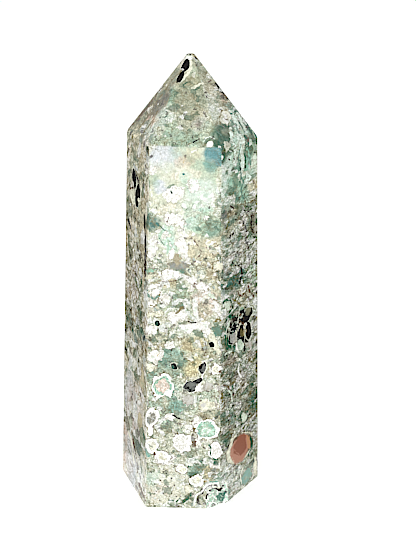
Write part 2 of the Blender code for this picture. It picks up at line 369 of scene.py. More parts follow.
BLOBS: tuple[Blob, ...] = tuple(starmap(Blob, (
    ("tip white", (189, 58), (5, 2), M.WHITE),
    ("tip spot", (210, 144), (4.2, 2.6), M.WHITE, -25, 0.2, Layer.FINE),
    ("left white", (133.5, 185), (2, 4), M.WHITE),
    ("left white middle", (133, 193), (3.2, 6), M.CREAM),
    ("left white foot", (134, 201), (3, 4), M.CREAM),
    ("front white heart", (174, 194), (11, 7), M.WHITE, -12, 0.25),
    ("front tooth", (194.5, 186), (6, 6), M.WHITE, 45, 0.25),
    ("front edge", (151, 171), (7, 3.5), M.WHITE, -20),
    ("front wing", (170, 219), (7, 7), M.WHITE, 30),
    ("front wing foot", (180, 223), (5, 7), M.WHITE, -25),
    ("front white mint", (195, 214), (6, 2.2), M.PEARL, -25),
    ("front white right", (207, 217.5), (3, 1.8), M.WHITE, -20),
    ("front white left", (152, 249), (5, 13), M.WHITE, 12),
    ("front wedge", (171.5, 253), (2.4, 7), M.WHITE),
    ("front shoulder", (165, 235), (2.4, 4.5), M.WHITE, 30),
    ("front bay", (183, 250), (6, 12), M.WHITE, -18),
    ("mauve wedge", (178, 266), (8.5, 5.5), M.GREY, 0, 0.2),
    ("mauve wedge top", (177.5, 259), (3.6, 5), M.DUN, 0, 0.2),
    ("teal foot of wedge", (179, 272), (5.5, 3), M.FERN, -15),
    ("front teal left", (151, 270), (4.5, 2.4), M.SEA_GREEN),
    ("front white belt", (170, 275), (11, 5), M.WHITE),
    ("front white pearl", (150, 277), (3.5, 3.5), M.CREAM),
    ("front band", (154, 286), (8, 2.6), M.WHITE, -6),
    ("front net", (156, 294), (7, 5), M.WHITE),
    ("front net right", (166, 299), (5, 5), M.WHITE),
    ("front net foot", (151, 304), (4, 4), M.WHITE),
    ("front cream band", (155, 314), (9, 3), M.CREAM, -14),
    ("front islet", (201, 287), (6, 4), M.WHITE),
    ("front islet low", (192, 280), (5, 3.5), M.WHITE),
    ("front white right edge", (218, 266), (4.5, 6.5), M.CREAM),
    ("front wave", (196, 309), (3, 11), M.WHITE, -8),
    ("front patch", (177, 316), (10, 5), M.WHITE, -15),
    ("rose edge", (216.5, 306), (2.6, 8), M.WHITE, -15, 0.4),
    ("rose edge top", (212, 296), (3.4, 2.4), M.PEARL, -15, 0.4),
    ("front belt white", (193, 327), (14, 4.5), M.WHITE, -6),
    ("front belt left", (151, 330), (6, 4), M.WHITE),
    ("green wedge", (216.5, 332), (6, 5), M.FERN, 0, 0.25),
    ("white bar", (214, 342), (3.4, 12), M.CREAM, -24),
    ("bar left", (207, 331), (4, 4), M.WHITE),
    ("left patch", (155, 357), (7, 8), M.WHITE),
    ("left white patch foot", (151, 367), (5, 4), M.CREAM),
    ("front blue", (170, 345), (6, 4), M.WHITE),
    ("rim of the vug", (199, 388), (4, 5), M.WHITE, 20),
    ("mint rim", (216, 393), (3, 3), M.PEARL),
    ("slit white", (170, 417), (5.5, 3.5), M.WHITE),
    ("lilac disc", (208, 387), (4.6, 4.6), M.LILAC, 0, 0.2),
    ("disc low", (187.5, 399.4), (5, 5), M.LILAC, 0, 0.2),
    ("cream disc", (206, 405.5), (8, 6.2), M.CREAM, 0, 0.2),
    ("cream disc heart", (203.5, 405), (2.6, 2.4), M.LILAC, 0, 0.3, Layer.FINE),
    ("target crescent", (168.5, 393.5), (4, 3.4), M.WHITE, -40, 0.3, Layer.FINE),
    ("agate corner", (198, 420), (5, 4), M.WHITE),
    ("low cluster foot", (164, 459), (9, 6), M.WHITE, 10),
    ("brown spot", (193.6, 444), (2.6, 3.3), M.BROWN, 0, 0.4, Layer.FINE),
    ("white by the spot", (198, 443), (3, 4.5), M.WHITE),
    ("white point", (212, 465), (5.5, 2.2), M.WHITE, 28),
    ("green point", (215.5, 463), (3, 2), M.DEEP_GREEN, 30, 0.3, Layer.FINE),
    ("foot white", (188, 489), (5, 4), M.CREAM),
    ("foot dark wedge", (187.5, 498), (2.2, 6), M.DEEP_GREEN, 40),
    ("right orb", (254, 162), (3.4, 7), M.PEARL),
    ("right white cell", (228, 305), (3, 5), M.PEARL),
    ("right lens low", (249.5, 344), (3.6, 4.5), M.LILAC, 30),
    ("right lens", (240, 345), (3.8, 7), M.PEARL, 12),
    ("right leaf", (233.5, 338), (3.6, 6.5), M.LILAC, 20),
    ("vug heart", (234, 319), (2.6, 6), M.UMBER, 24, 0.8, Layer.FINE),
    ("vug left arm", (230.5, 325.5), (2.2, 5), M.UMBER, 10, 0.7, Layer.FINE),
    ("vug left shard", (233.6, 330.5), (1.4, 4), M.UMBER, 24, 0.6, Layer.FINE),
    ("vug arm", (229, 317), (4.6, 2.2), M.DEEP_GREEN, -15, 0.6, Layer.FINE),
    ("vug green foot", (229.5, 343), (2.6, 6.5), M.DEEP_GREEN, 12, 0.6, Layer.FINE),
    ("vug foot", (246.6, 340), (3, 4), M.UMBER, 0, 0.6, Layer.FINE),
    ("vug root", (244.5, 348), (1.2, 3.4), M.UMBER, 8, 0.6, Layer.FINE),
    ("right edge white", (255, 467), (1.8, 9), M.CREAM),
    ("leaf", (244, 417), (3, 5.6), M.PEARL, 12, 0.2),
    ("teal lens", (246, 477), (4.2, 9), M.TEAL, 22, 0.15),
    ("jasper outline", (240.8, 447.5), (11.2, 17.8), M.CREAM, 24, 0.12),
    ("left long cell", (142, 381), (2.2, 11), M.BEIGE),
    ("left long cell low", (140, 420), (2.4, 7), M.BEIGE),
    ("jasper rind", (240.8, 447.6), (9.4, 15.8), M.BROWN, 24, 0.12, Layer.FINE),
    ("jasper foot", (238.6, 451.5), (8, 12.2), M.BRICK, 24, 0.12, Layer.FINE),
    ("jasper heart", (240.6, 445.6), (6.6, 11.2), M.JASPER, 24, 0.16, Layer.FINE),
    ("jasper amber", (248.2, 441.5), (2, 8.6), M.AMBER, -6, 0.2, Layer.FINE),
)))

DEEP_BLOBS: tuple[Blob, ...] = tuple(Blob(*row, layer=Layer.DEEP) for row in (
    ("tip sparkle", (182.5, 69.5), (1.7, 1.6), M.WHITE, 0, 0.3),
    ("stem", (237.6, 318.5), (1.7, 6.4), M.PEARL, 14, 0.3),
    ("bar", (245, 327), (1.7, 6.4), M.WHITE, 10, 0.3),
    ("brown wall", (241.6, 331), (1.6, 7), M.OLIVE, 0, 0.4),
    ("pale leaf", (233.5, 337), (3.8, 6.5), M.LILAC, 20, 0.3),
    ("pale lens", (240, 345), (4, 7.5), M.PEARL, 12, 0.3),
    ("pale lens low", (249.5, 344), (3.6, 4.5), M.LILAC, 30, 0.3),
    ("base vug left", (202.5, 495), (3, 9), M.UMBER, 20, 0.7),
    ("base vug top", (214, 488), (11, 2.2), M.UMBER, 2, 0.7),
    ("base vug green", (221, 497), (3, 4), M.FERN, 30, 0.7),
    ("vug rib", (238.6, 327), (1.3, 6), M.CREAM, 18, 0.9),
    ("vug rib right", (245, 331), (1.2, 5), M.TAN, -8, 0.9),
    ("vug brown", (241.5, 320), (2.6, 4), M.BROWN, 20, 1),
    ("vug grey", (189, 385), (6.4, 4), M.GREY, -15, 0.9),
    ("vug right", (193, 388), (2.6, 2.2), M.GREY, 0, 0.9),
    ("vug arm grey", (198, 380.5), (3.6, 1.4), M.SLATE, -30, 0.9),
    ("islet grey", (202, 368), (2.6, 4.6), M.GREY, 20, 0.9),
    ("islet tan", (199.2, 364), (1.6, 2), M.TAN, 0, 0.5),
    ("pit grey", (172.6, 367), (2.6, 2), M.FERN, 0, 0.9),
    ("pit grey left", (156.8, 322.8), (2.8, 3), M.FERN, 0, 0.9),
    ("left vug foot", (139.2, 201), (2.6, 4.2), M.CREAM, 0, 0.4),
    ("vug roof", (247.5, 308.5), (4.6, 4.2), M.OLIVE_GREY, 0, 0.5),
    ("vug roof left", (239.5, 306.5), (3.4, 3.2), M.SAGE, 0, 0.5),
    ("shard", (241.8, 316), (0.9, 3.6), M.PEARL, 28, 0.5),
    ("left vug sparkle", (132.6, 185), (1.6, 3.2), M.WHITE, 0, 0.3),
))

GROWTHS: tuple[Mark, ...] = tuple(starmap(Mark, (
    ("left of the vug", (233, 334), (5, 12)),
    ("foot of the vug", (240, 343), (7, 8)),
    ("base vug", (212, 494), (14, 9)),
)))

DOTS: tuple[Pixel, ...] = (
    (158, 466), (163.5, 463), (151, 472), (166, 473), (171, 478), (160, 480), (154.5, 484), (167, 486),
    (174, 485), (163, 493), (156, 491), (171, 493), (176, 496), (168, 502), (150, 495), (159.5, 500),
)

STROKES: tuple[Stroke, ...] = tuple(starmap(Stroke, (
    ("tip vug throat", M.BLACK, 4.2, ((186.5, 65), (184, 70.5), (180.5, 76)), 0.4),
    ("rim of the tip vug", M.CREAM, 2.6, ((190.5, 61), (191, 68), (187, 75), (181, 81)), 0.4),
    ("tip cream streak", M.CREAM, 2.4, ((192, 88), (198, 85.5), (203, 83))),
    ("tip squiggle", M.DEEP_GREEN, 1, ((183, 85.5), (186, 83), (190, 82))),
    ("tip squiggle low", M.DEEP_GREEN, 0.9, ((195, 90), (199, 88), (203, 91))),
    ("tip slit", M.BLACK, 1.3, ((193, 142.5), (196, 140.5), (199, 138.8)), 0.2),
    ("tip slit smear", M.OLIVE, 1.2, ((188, 144.5), (191, 143))),
    ("tip dots", M.DEEP_GREEN, 0.8, ((162, 112), (164, 110.5), (167, 112)), 0.9),
    ("tip dots low", M.DEEP_GREEN, 0.8, ((161, 116), (165, 117.5), (168, 115)), 0.9),
    ("tip speck", M.UMBER, 1.1, ((204.5, 92.5), (206, 93))),
    ("tip speck right", M.UMBER, 1.1, ((206, 95.5), (207, 97))),
    ("tip white ring", M.ICE, 1, ((204, 141), (205.5, 138), (210, 136.6), (215, 139)), 0.5),
    ("tip right specks", M.BROWN, 1.3, ((208.5, 82), (211, 80.5))),
    ("tip right specks low", M.BLACK, 1.8, ((216.5, 84), (218.5, 87.5))),
    ("tip right specks foot", M.BLACK, 2.2, ((221, 91.5), (223.5, 93))),
    ("tip brown", M.BROWN, 1.4, ((224, 95), (226, 97.5))),
    ("orb specks", M.BROWN, 1, ((224.5, 118), (226, 120), (227.5, 119)), 0.9),
    ("orb speck low", M.OLIVE, 0.9, ((226, 124), (227, 125)), 0.5),
    ("orb rim", M.CREAM, 1, ((221, 116), (223, 111.5), (227, 111.5), (230.5, 116), (231, 121)), 0.7),
    ("orb outline", M.OLIVE, 0.9, ((220, 124), (219.6, 117), (222, 111), (227, 109.5)), 0.7),
    ("spot of the swirl", M.BROWN, 3.2, ((245.3, 136.5), (248.4, 139.5))),
    ("swirl far line", M.SEA_GREEN, 1.2, ((246.5, 147), (249.5, 155), (247, 163), (249, 169)), 0.9),
    ("swirl far line right", M.SAGE, 1.2, ((250, 140), (254.5, 148), (252, 156)), 0.9),
    ("swirl edge line", M.SAGE, 1, ((246, 121), (251, 129), (255, 137)), 0.9),
    ("corner line", M.FERN, 1, ((217, 132), (221, 135), (219, 140), (223, 145)), 0.9),
    ("swirl white", M.ICE, 4, ((232, 113), (236, 121), (238.5, 132), (241, 146), (242.5, 160),
     (241, 171)), 0.6, Layer.BROAD),
    ("swirl white right", M.ICE, 3.2, ((238, 113), (241, 120), (243.5, 128)), 0.5, Layer.BROAD),
    ("swirl white left", M.ICE, 2.6, ((230.5, 128), (232, 142), (235.5, 152), (234, 168)),
     0.7, Layer.BROAD),
    ("swirl white foot", M.ICE, 2.6, ((247, 173), (250, 177), (246, 181)), 0.7, Layer.BROAD),
    ("swirl green", M.DEEP_GREEN, 1.3, ((238, 119), (240, 124), (244, 131), (246, 138), (245, 152),
     (245.5, 168)), 0.8),
    ("swirl left", M.FERN, 1.1, ((231, 121), (236, 124), (238, 131), (240.5, 147), (238.5, 156),
     (240, 168)), 0.9),
    ("swirl far", M.DEEP_GREEN, 1.3, ((235, 111.5), (240, 111), (244, 117), (249, 127),
     (253, 137)), 0.8),
    ("swirl edge", M.DEEP_GREEN, 1, ((230, 113), (232, 114.5), (236, 110)), 0.8),
    ("swirl foot", M.DEEP_GREEN, 1.2, ((240, 167), (241, 175), (240, 186)), 0.7),
    ("green stripe", M.FERN, 1.3, ((233.5, 181), (235.5, 186), (233.5, 190), (236, 199)), 0.9),
    ("stripe right", M.FERN, 1.1, ((241, 174), (243, 181), (241, 190), (243.5, 199)), 0.9),
    ("tip left streak", M.BROWN, 1.5, ((126, 136), (136, 121), (149, 106), (156, 96)), 0.9),
    ("tip left streak low", M.OLIVE, 1.2, ((132, 138), (140, 127), (147, 118), (152, 108)), 0.9),
    ("tip left streak inner", M.OLIVE, 1.2, ((141, 138), (146, 129), (154, 119), (157, 112)), 0.9),
    ("tip left streak top", M.OLIVE, 1.3, ((155, 104), (164, 92), (172, 80), (181, 71)), 0.9),
    ("tip left streak edge", M.BROWN, 1, ((140, 116), (151, 101), (163, 86)), 0.9),
    ("left vug outline", M.UMBER, 1.3, ((135, 171), (138, 180), (140, 191))),
    ("left vug arch", M.BROWN, 1, ((130, 189), (133, 187), (135.5, 190), (135, 195))),
    ("left slit", M.BLACK, 1.3, ((128.5, 220), (129.5, 223.5), (130.5, 227)), 0.2),
    ("left edge", M.UMBER, 1.6, ((144.5, 215), (145.5, 245), (145, 275)), 0.6),
    ("front nick", M.SLATE, 1.2, ((149, 158), (151.5, 156))),
    ("front eye", M.DEEP_GREEN, 1.8, ((171, 191.6), (171.8, 193))),
    ("front teal eye", M.DEEP_TEAL, 1.8, ((183, 174), (184.2, 174))),
    ("front rust", M.TAN, 1.1, ((184.3, 160.5), (183.3, 163))),
    ("front rust slit", M.BROWN, 1.1, ((168.6, 217.2), (166.8, 222))),
    ("front line", M.DEEP_GREEN, 1, ((158, 224), (161, 227), (165, 230.5))),
    ("front green knot", M.DEEP_TEAL, 2.4, ((157, 223.5), (158.5, 225.5))),
    ("front teal knot", M.DEEP_TEAL, 2.4, ((151, 224), (154.5, 227.5)), 0.7),
    ("mint line", M.DEEP_GREEN, 1, ((159, 238), (161.5, 242), (164.5, 245))),
    ("mint line right", M.SAGE, 1.6, ((168, 240), (168.5, 248), (167, 254))),
    ("mint line top", M.SAGE, 1.6, ((162, 231), (160, 237))),
    ("wedge outline", M.SAGE, 1, ((175, 245), (177.5, 251), (180, 257))),
    ("beige line", M.BROWN, 1, ((194, 240), (197.5, 245), (201.5, 251.5), (195, 262)), 0.4),
    ("mauve wave", M.MAUVE, 1.1, ((206, 247.5), (210, 248.5), (214, 247))),
    ("brown wave", M.BROWN, 1, ((214, 247), (221, 244))),
    ("orb outline", M.OLIVE, 1.1, ((219, 260.5), (213, 262.5), (212.5, 268), (211.5, 274))),
    ("brown ring", M.BROWN, 0.9, ((192.5, 286), (194.5, 283.2), (196.8, 284.5), (195, 287.5),
     (192.5, 286)), 0.2),
    ("tan line", M.BROWN, 1, ((158, 281), (166, 282), (176, 280.5))),
    ("olive stick", M.OLIVE, 2, ((176, 313.5), (182.5, 307.5))),
    ("net green", M.FERN, 1.1, ((147, 290), (149, 297), (154, 299), (159, 296)), 0.7),
    ("net olive", M.OLIVE, 1.1, ((150, 305), (156, 306), (158, 300), (160, 292)), 0.7),
    ("olive mark", M.OLIVE, 1.5, ((214, 299.5), (218.5, 303), (222, 305)), 0.5),
    ("mark low", M.OLIVE, 1.8, ((213.5, 321.5), (217.5, 319.5), (221, 320.5)), 0.5),
    ("belt twig", M.UMBER, 1.2, ((188.5, 321.5), (191.5, 323), (196, 322.5))),
    ("amber nick", M.TAN, 0.8, ((157, 356), (160, 352))),
    ("tan bay line", M.OLIVE, 1, ((182, 352), (187, 360), (194, 363)), 0.4),
    ("tan bay rim", M.BROWN, 1.1, ((205, 343), (206.5, 349), (204, 356)), 0.4),
    ("vug white right", M.WHITE, 2, ((204.5, 364), (203.5, 372), (201, 380), (198, 388), (193, 392.5))),
    ("agate arc", M.SEA_GREEN, 1.2, ((197, 430), (199.5, 425.5), (205, 423.5), (211, 425.5)), 0.6),
    ("agate arc low", M.TEAL, 1, ((197, 432.5), (200, 435.5), (205, 437)), 0.7),
    ("agate swirl", M.WHITE, 1.1, ((202, 431), (206, 428), (210, 430), (207, 433)), 0.5),
    ("low slit", M.BLACK, 1.4, ((172.5, 415.3), (176, 417.2), (179.8, 418.8)), 0.15),
    ("low vein", M.DEEP_GREEN, 1.3, ((209, 445), (211, 449), (210.4, 455), (213.5, 459), (217.5, 459.5))),
    ("cluster line", M.DEEP_GREEN, 1.1, ((149, 444.5), (152.5, 447))),
    ("cluster line foot", M.TEAL, 1.6, ((146, 451), (148.5, 455))),
    ("base vug rim", M.UMBER, 1.7, ((205, 487), (209, 485.2), (216, 485), (224, 486.8), (231, 487.5)), 0.9),
    ("base vug rim left", M.UMBER, 2.6, ((206, 488), (201.5, 491.5), (198.5, 497), (199, 503)), 0.8),
    ("base vug rim green", M.FERN, 1.3, ((226, 487.5), (230, 492), (227, 498)), 0.9),
    *(("foot dot", M.UMBER, 1.1, ((x, y), (x + 0.6, y + 0.5)), 0.2) for x, y in DOTS),
    ("foot dots", M.DEEP_GREEN, 1.2, ((169, 500), (173, 500.5), (176.5, 501.5), (180, 498.5)), 0.9),
    ("white line of the base vug", M.WHITE, 2, ((217.5, 483), (212, 483), (206, 485.5), (202, 491),
     (196, 495.5), (194, 505))),
    ("mint by the base vug", M.TEAL, 1.6, ((217, 481.5), (210, 482)), 0.4),
    ("right speck", M.UMBER, 1, ((222.5, 153), (223.8, 154.5))),
    ("right speck low", M.UMBER, 1, ((228.6, 159), (229.6, 160))),
    ("right speck mid", M.UMBER, 1.2, ((233.6, 158), (234.6, 159.6))),
    ("right speck top", M.UMBER, 0.9, ((232, 150), (233, 151.5))),
    ("orb speck right", M.BROWN, 1.3, ((253, 181), (254.5, 183))),
    ("right dark arc inner", M.OLIVE, 0.9, ((228, 214), (229, 222), (226, 230)), 0.7),
    ("right arc end", M.UMBER, 1.8, ((230.5, 206), (233.5, 208))),
    ("right knot", M.UMBER, 1.4, ((229, 238), (232, 235), (235, 233.5)), 0.9),
    ("right dark stripe", M.UMBER, 1.1, ((243, 222), (247, 231), (246, 240), (249, 248)), 1.2),
    ("right stripe far", M.UMBER, 1, ((252, 214), (251, 226), (254, 236)), 1.2),
    ("right stripe top", M.UMBER, 1, ((243, 208), (247, 213), (250, 210)), 1.2),
    ("right twig", M.UMBER, 1.1, ((232, 262), (236, 266), (241, 264), (245, 268)), 0.9),
    ("right twig low", M.UMBER, 1.4, ((241, 268), (242, 276), (239, 283)), 0.7),
    ("brown net", M.BROWN, 1.2, ((237, 291), (241, 296), (245, 293), (249, 299)), 0.6),
    ("net right", M.BROWN, 1.2, ((248, 286), (250, 292), (254, 296)), 0.6),
    ("cell outline", M.DEEP_GREEN, 1.2, ((223, 303), (226, 299.5), (231, 301), (232.5, 308),
     (229, 313)), 0.5),
    ("cell outline right", M.OLIVE, 1.3, ((233, 299), (238, 303), (244, 308), (246, 312)), 0.5),
    ("vug outline left", M.DEEP_GREEN, 1.2, ((223, 327), (226, 331), (225, 339), (227, 349)), 0.5),
    ("lens outline left", M.WHITE, 1, ((236.5, 343), (236, 348), (239, 352))),
    ("vug white rim", M.PEARL, 1.4, ((229.5, 321.5), (228, 326), (225.5, 333)), 0.4),
    ("low arc", M.PEARL, 1.2, ((225, 355), (228, 352), (232, 351.5)), 0.4),
    ("low pale cell", M.WHITE, 1, ((239, 364), (238, 371), (241, 377)), 0.4),
    ("right line", M.BROWN, 1.1, ((223, 385), (227, 386.5), (231, 391), (236, 396)), 1.2),
    ("right brown line low", M.OLIVE, 0.9, ((220.5, 391), (223, 396), (222, 403)), 1),
    ("right brown knot", M.BROWN, 1.8, ((220, 371), (223, 375)), 1),
    ("right white arc", M.PEARL, 1.2, ((229, 391), (231.5, 395), (232.5, 401))),
    ("leaf outline", M.DEEP_GREEN, 1, ((243, 411), (240.4, 417), (242, 424), (247, 420), (248, 411),
     (243, 411)), 0.4),
    ("lens outline", M.CREAM, 0.9, ((243, 468), (240.4, 475), (241.5, 483)), 0.2),
    ("jasper line", M.BRICK, 0.7, ((246.2, 435), (246.6, 441), (247.4, 450)), 0.6),
    ("jasper vein", M.BRICK, 0.5, ((233.5, 449), (237, 453), (241, 456))),
    ("jasper dark arc", M.DEEP_GREEN, 1.3, ((250.5, 438), (252.2, 446), (248, 455))),
    ("left foot edge", M.BROWN, 1.4, ((139, 484), (142, 492), (145, 500)), 0.9),
    ("left foot streak", M.BROWN, 0.9, ((133, 440), (136, 455), (138, 472)), 0.9),
    ("left pale streak", M.CREAM, 1.2, ((129, 432), (132, 445), (134, 462)), 0.6),
)))

ORBS: tuple[Orb, ...] = tuple(starmap(Orb, (
    ("target orb", (162, 386), (11, 11.5), M.BLUSH, M.SEA_GREEN),
    ("agate orb", (206, 430), (12.5, 9.5), M.MINT, M.SEA_GREEN),
    ("grey leaf", (151.5, 417.5), (7, 9.5), M.GREY, M.WHITE, 20),
    ("white by the leaf", (150, 431), (3.2, 4), M.WHITE, M.WHITE),
    ("low white orb", (152, 446), (6.4, 7.6), M.CREAM, M.WHITE),
    ("low white orb right", (163, 457), (7.4, 5.8), M.CREAM, M.WHITE, 12),
    ("white orb", (182.5, 443), (9, 9.5), M.WHITE, M.WHITE),
    ("veined orb", (215.5, 451), (7, 8.5), M.WHITE, M.WHITE),
    ("small white orb", (181.5, 469), (5.6, 4.6), M.CREAM, M.WHITE),
    ("foot orb", (197, 481), (7.2, 6.2), M.CREAM, M.WHITE),
    ("white pearl", (216, 369), (5, 5.5), M.CREAM, M.WHITE),
)))


class Side(Enum):
    """The stone's six sides, by the azimuth that each faces, in degrees round from the front."""

    LEFT = -66.5
    FRONT = 0.0
    RIGHT = 59.0
    BACK_RIGHT = 121.0
    BACK = 179.0
    BACK_LEFT = -120.0


SEEN_SIDES = (Side.FRONT, Side.LEFT, Side.RIGHT)
GROUNDS: dict[Side, Mineral] = dict(zip(Side, (
    M.PALE_DUN, M.PALE_SAGE, M.PALE_OLIVE, M.PALE_SAGE, M.PALE_DUN, M.PALE_SAGE,
)))


class Bench:
    """Lays out the nodes of one material, world, geometry or compositor tree. Scales are to a millimetre."""

    def __init__(self, tree: NodeTree) -> None:
        """Starts on an empty sheet."""
        self.tree = tree
        tree.nodes.clear()

    def node(self, kind: str, feeds: Feeds = (), **settings: object) -> bpy.types.Node:
        """Adds a node.

        Args:
            kind: Blender's name for the node's type.
            feeds: What its inputs get, in their order or by name: a socket, a mineral or a plain value.
            settings: The node's own options.

        Returns:
            The new node.
        """
        made = self.tree.nodes.new(kind)
        for name, setting in settings.items():
            setattr(made, name, setting)
        for name, value in feeds.items() if isinstance(feeds, dict) else enumerate(feeds):
            if isinstance(value, Socket):
                self.tree.links.new(value, made.inputs[name])
            else:
                made.inputs[name].default_value = value.colour if isinstance(value, Mineral) else value
        return made

    def math(self, operation: str, first: Value, second: Value = 0.0) -> Socket:
        """Works out a number."""
        return self.node("ShaderNodeMath", (first, second), operation=operation).outputs[0]

    def add(self, first: Value, second: Value) -> Socket:
        """Adds two numbers."""
        return self.math("ADD", first, second)

    def times(self, *values: Value) -> Socket:
        """Multiplies numbers."""
        return reduce(partial(self.math, "MULTIPLY"), values)

    def vector(self, operation: str, first: Value, second: Value) -> Socket:
        """Works out a vector. SCALE takes a number second."""
        feeds = {0: first, 3 if operation == "SCALE" else 1: second}
        return self.node("ShaderNodeVectorMath", feeds, operation=operation).outputs[0]

    def mix(self, share: Value, low: Value, high: Value, blend: str = "MIX") -> Socket:
        """Mixes two colours: with a share of 0 the low one shows, with 1 the high one."""
        feeds = {0: share, 6: low, 7: high}
        return self.node("ShaderNodeMix", feeds, data_type="RGBA", blend_type=blend).outputs[2]

    def rise(self, value: Value, low: float, high: float) -> Socket:
        """A soft step from 0 at low to 1 at high. It falls where low is above high."""
        feeds = (value, low, high, 0.0, 1.0) if low <= high else (value, high, low, 1.0, 0.0)
        return self.node("ShaderNodeMapRange", feeds, interpolation_type="SMOOTHSTEP").outputs[0]

    def above(self, value: Value, limit: Value) -> Socket:
        """A crisp step: 1 where a number is above a limit, and 0 where it isn't."""
        return self.rise(self.math("SUBTRACT", value, limit), -0.01, 0.01)

    def noise(self, place: Value, scale: float, detail: float = 2.0) -> Sequence[Socket]:
        """Cloudy noise: a number, then a colour. The detail says how many finer layers it has."""
        return self.node("ShaderNodeTexNoise", {"Vector": place, "Scale": scale, "Detail": detail}).outputs

    def clouds(self, place: Value, scale: float, low: float, high: float, detail: float = 2.0) -> Socket:
        """Clouds with soft rims: a step over cloudy noise."""
        return self.rise(self.noise(place, scale, detail)[0], low, high)

    def drift(self, place: Value, scale: float, detail: float, reach: float) -> Socket:
        """Cloudy noise round 0, as strong as its reach."""
        return self.times(self.math("SUBTRACT", self.noise(place, scale, detail)[0], 0.5), reach)

    def sway(self, place: Value, scale: float, reach: float, detail: float = 2.0) -> Socket:
        """Moves a point to and fro by up to its reach, so that what is drawn there bends."""
        centred = self.vector("SUBTRACT", self.noise(place, scale, detail)[1], (0.5, 0.5, 0.5))
        return self.vector("ADD", place, self.vector("SCALE", centred, 2.0 * reach))

    def cells(self, place: Value, scale: float) -> Sequence[Socket]:
        """A pattern of cells: three random numbers for each."""
        made = self.node("ShaderNodeTexVoronoi", {"Vector": place, "Scale": scale}, feature="F1")
        return self.parts(made.outputs["Color"])

    def walls(self, place: Value, scale: float) -> Socket:
        """How far a point of the same pattern lies from the walls of its cell."""
        feeds = {"Vector": place, "Scale": scale}
        return self.node("ShaderNodeTexVoronoi", feeds, feature="DISTANCE_TO_EDGE").outputs[0]

    def veins(self, place: Value, scale: float, width: float, detail: float = 2.0) -> Socket:
        """Winding lines, like the contours of a map: 1 on a line, and 0 off it."""
        off = self.math("ABSOLUTE", self.math("SUBTRACT", self.noise(place, scale, detail)[0], 0.5))
        return self.rise(off, width, 0.4 * width)

    def parts(self, colour: Value) -> Sequence[Socket]:
        """Splits a colour into its three numbers."""
        return self.node("ShaderNodeSeparateColor", (colour,)).outputs

    def painted(self, name: str, kind: str = "Color") -> Socket:
        """Reads what was painted on the mesh: a colour, or a number as Fac, or a point as Vector."""
        return self.node("ShaderNodeAttribute", attribute_name=name).outputs[kind]

    def millimetres(self) -> Socket:
        """The point on the piece, in millimetres."""
        return self.vector("SCALE", self.node("ShaderNodeTexCoord").outputs["Object"], 1.0 / MM)

    def relief(self, height: Value, depth: float, strength: float) -> Socket:
        """A surface's direction where it follows a height, with a depth in metres."""
        feeds = {"Height": height, "Distance": depth, "Strength": strength}
        return self.node("ShaderNodeBump", feeds).outputs[0]

    def surface(self, colour: Value, roughness: float, **more: Value) -> None:
        """Ends a material with a surface of this colour and roughness, and more of its inputs."""
        feeds = {"Base Color": colour, "Roughness": roughness} | more
        self.node("ShaderNodeOutputMaterial", self.node("ShaderNodeBsdfPrincipled", feeds).outputs[:1])


def bench_for(owner: Material | bpy.types.World | bpy.types.Scene) -> Bench:
    """Clears the nodes of a material, world or scene to lay them out afresh."""
    owner.use_nodes = True
    return Bench(owner.node_tree)


def place_object(name: str, data: bpy.types.ID) -> Object:
    """Puts a mesh, light or camera in the scene.

    Args:
        name: The object's name.
        data: What it shows.

    Returns:
        The object.
    """
    made = bpy.data.objects.new(name, data)
    bpy.context.scene.collection.objects.link(made)
    return made


@dataclass(frozen=True)
class PhotoCamera:
    """The camera, where the photograph's perspective puts it. Places are in millimetres."""

    place: tuple[float, float, float] = (9.13, -212.93, 126.16)
    yaw: float = -0.026
    pitch: float = 0.351
    roll: float = 0.0115
    focal: float = 1068.3
    frame: tuple[int, int] = (416, 554)
    sensor: float = 36.0

    def axes(self) -> tuple[Vector, Vector, Vector]:
        """The directions to the picture's right, to its top, and into the picture."""
        level = math.cos(self.pitch)
        ahead = Vector((math.sin(self.yaw) * level, math.cos(self.yaw) * level, -math.sin(self.pitch)))
        flat_right = Vector((math.cos(self.yaw), -math.sin(self.yaw), 0.0))
        flat_up = flat_right.cross(ahead)
        right = flat_right * math.cos(self.roll) + flat_up * math.sin(self.roll)
        return right, right.cross(ahead), ahead

    def sight(self, pixel: Pixel) -> Vector:
        """The direction of the line of sight through a point of the photograph.

        Args:
            pixel: The point, from the frame's upper left corner.

        Returns:
            The direction, one long.
        """
        right, up, ahead = self.axes()
        across = (pixel[0] - self.frame[0] / 2) / self.focal
        down = (pixel[1] - self.frame[1] / 2) / self.focal
        return (ahead + right * across - up * down).normalized()

    def build(self) -> None:
        """Puts the camera in the scene."""
        data = bpy.data.cameras.new("photo_camera")
        data.sensor_width = self.sensor
        data.lens = self.focal * self.sensor / max(self.frame)
        data.clip_start = 1.0 * MM
        data.clip_end = 20.0
        camera = place_object("photo_camera", data)
        right, up, ahead = self.axes()
        turn = Matrix((right, up, -ahead)).transposed()
        camera.matrix_world = Matrix.Translation(Vector(self.place) * MM) @ turn.to_4x4()
        bpy.context.scene.camera = camera


def ripple(points: Array, size: float, seed: int) -> Array:
    """Smooth waves that make an outline uneven.

    Args:
        points: Where they are read, in millimetres.
        size: The length of the longest wave, in millimetres.
        seed: Which waves they are.

    Returns:
        A height for each point, mostly from -1 to 1.
    """
    draw = np.random.default_rng(seed)
    total = np.zeros(len(points))
    for octave, weight in ((1.0, 0.36), (2.1, 0.2)):
        waves = draw.normal(size=(4, 3))
        waves *= 2.0 * math.pi * octave / (size * np.linalg.norm(waves, axis=1, keepdims=True))
        total += weight * np.sin(points @ waves.T + draw.uniform(0.0, 2.0 * math.pi, 4)).sum(axis=1)
    return total


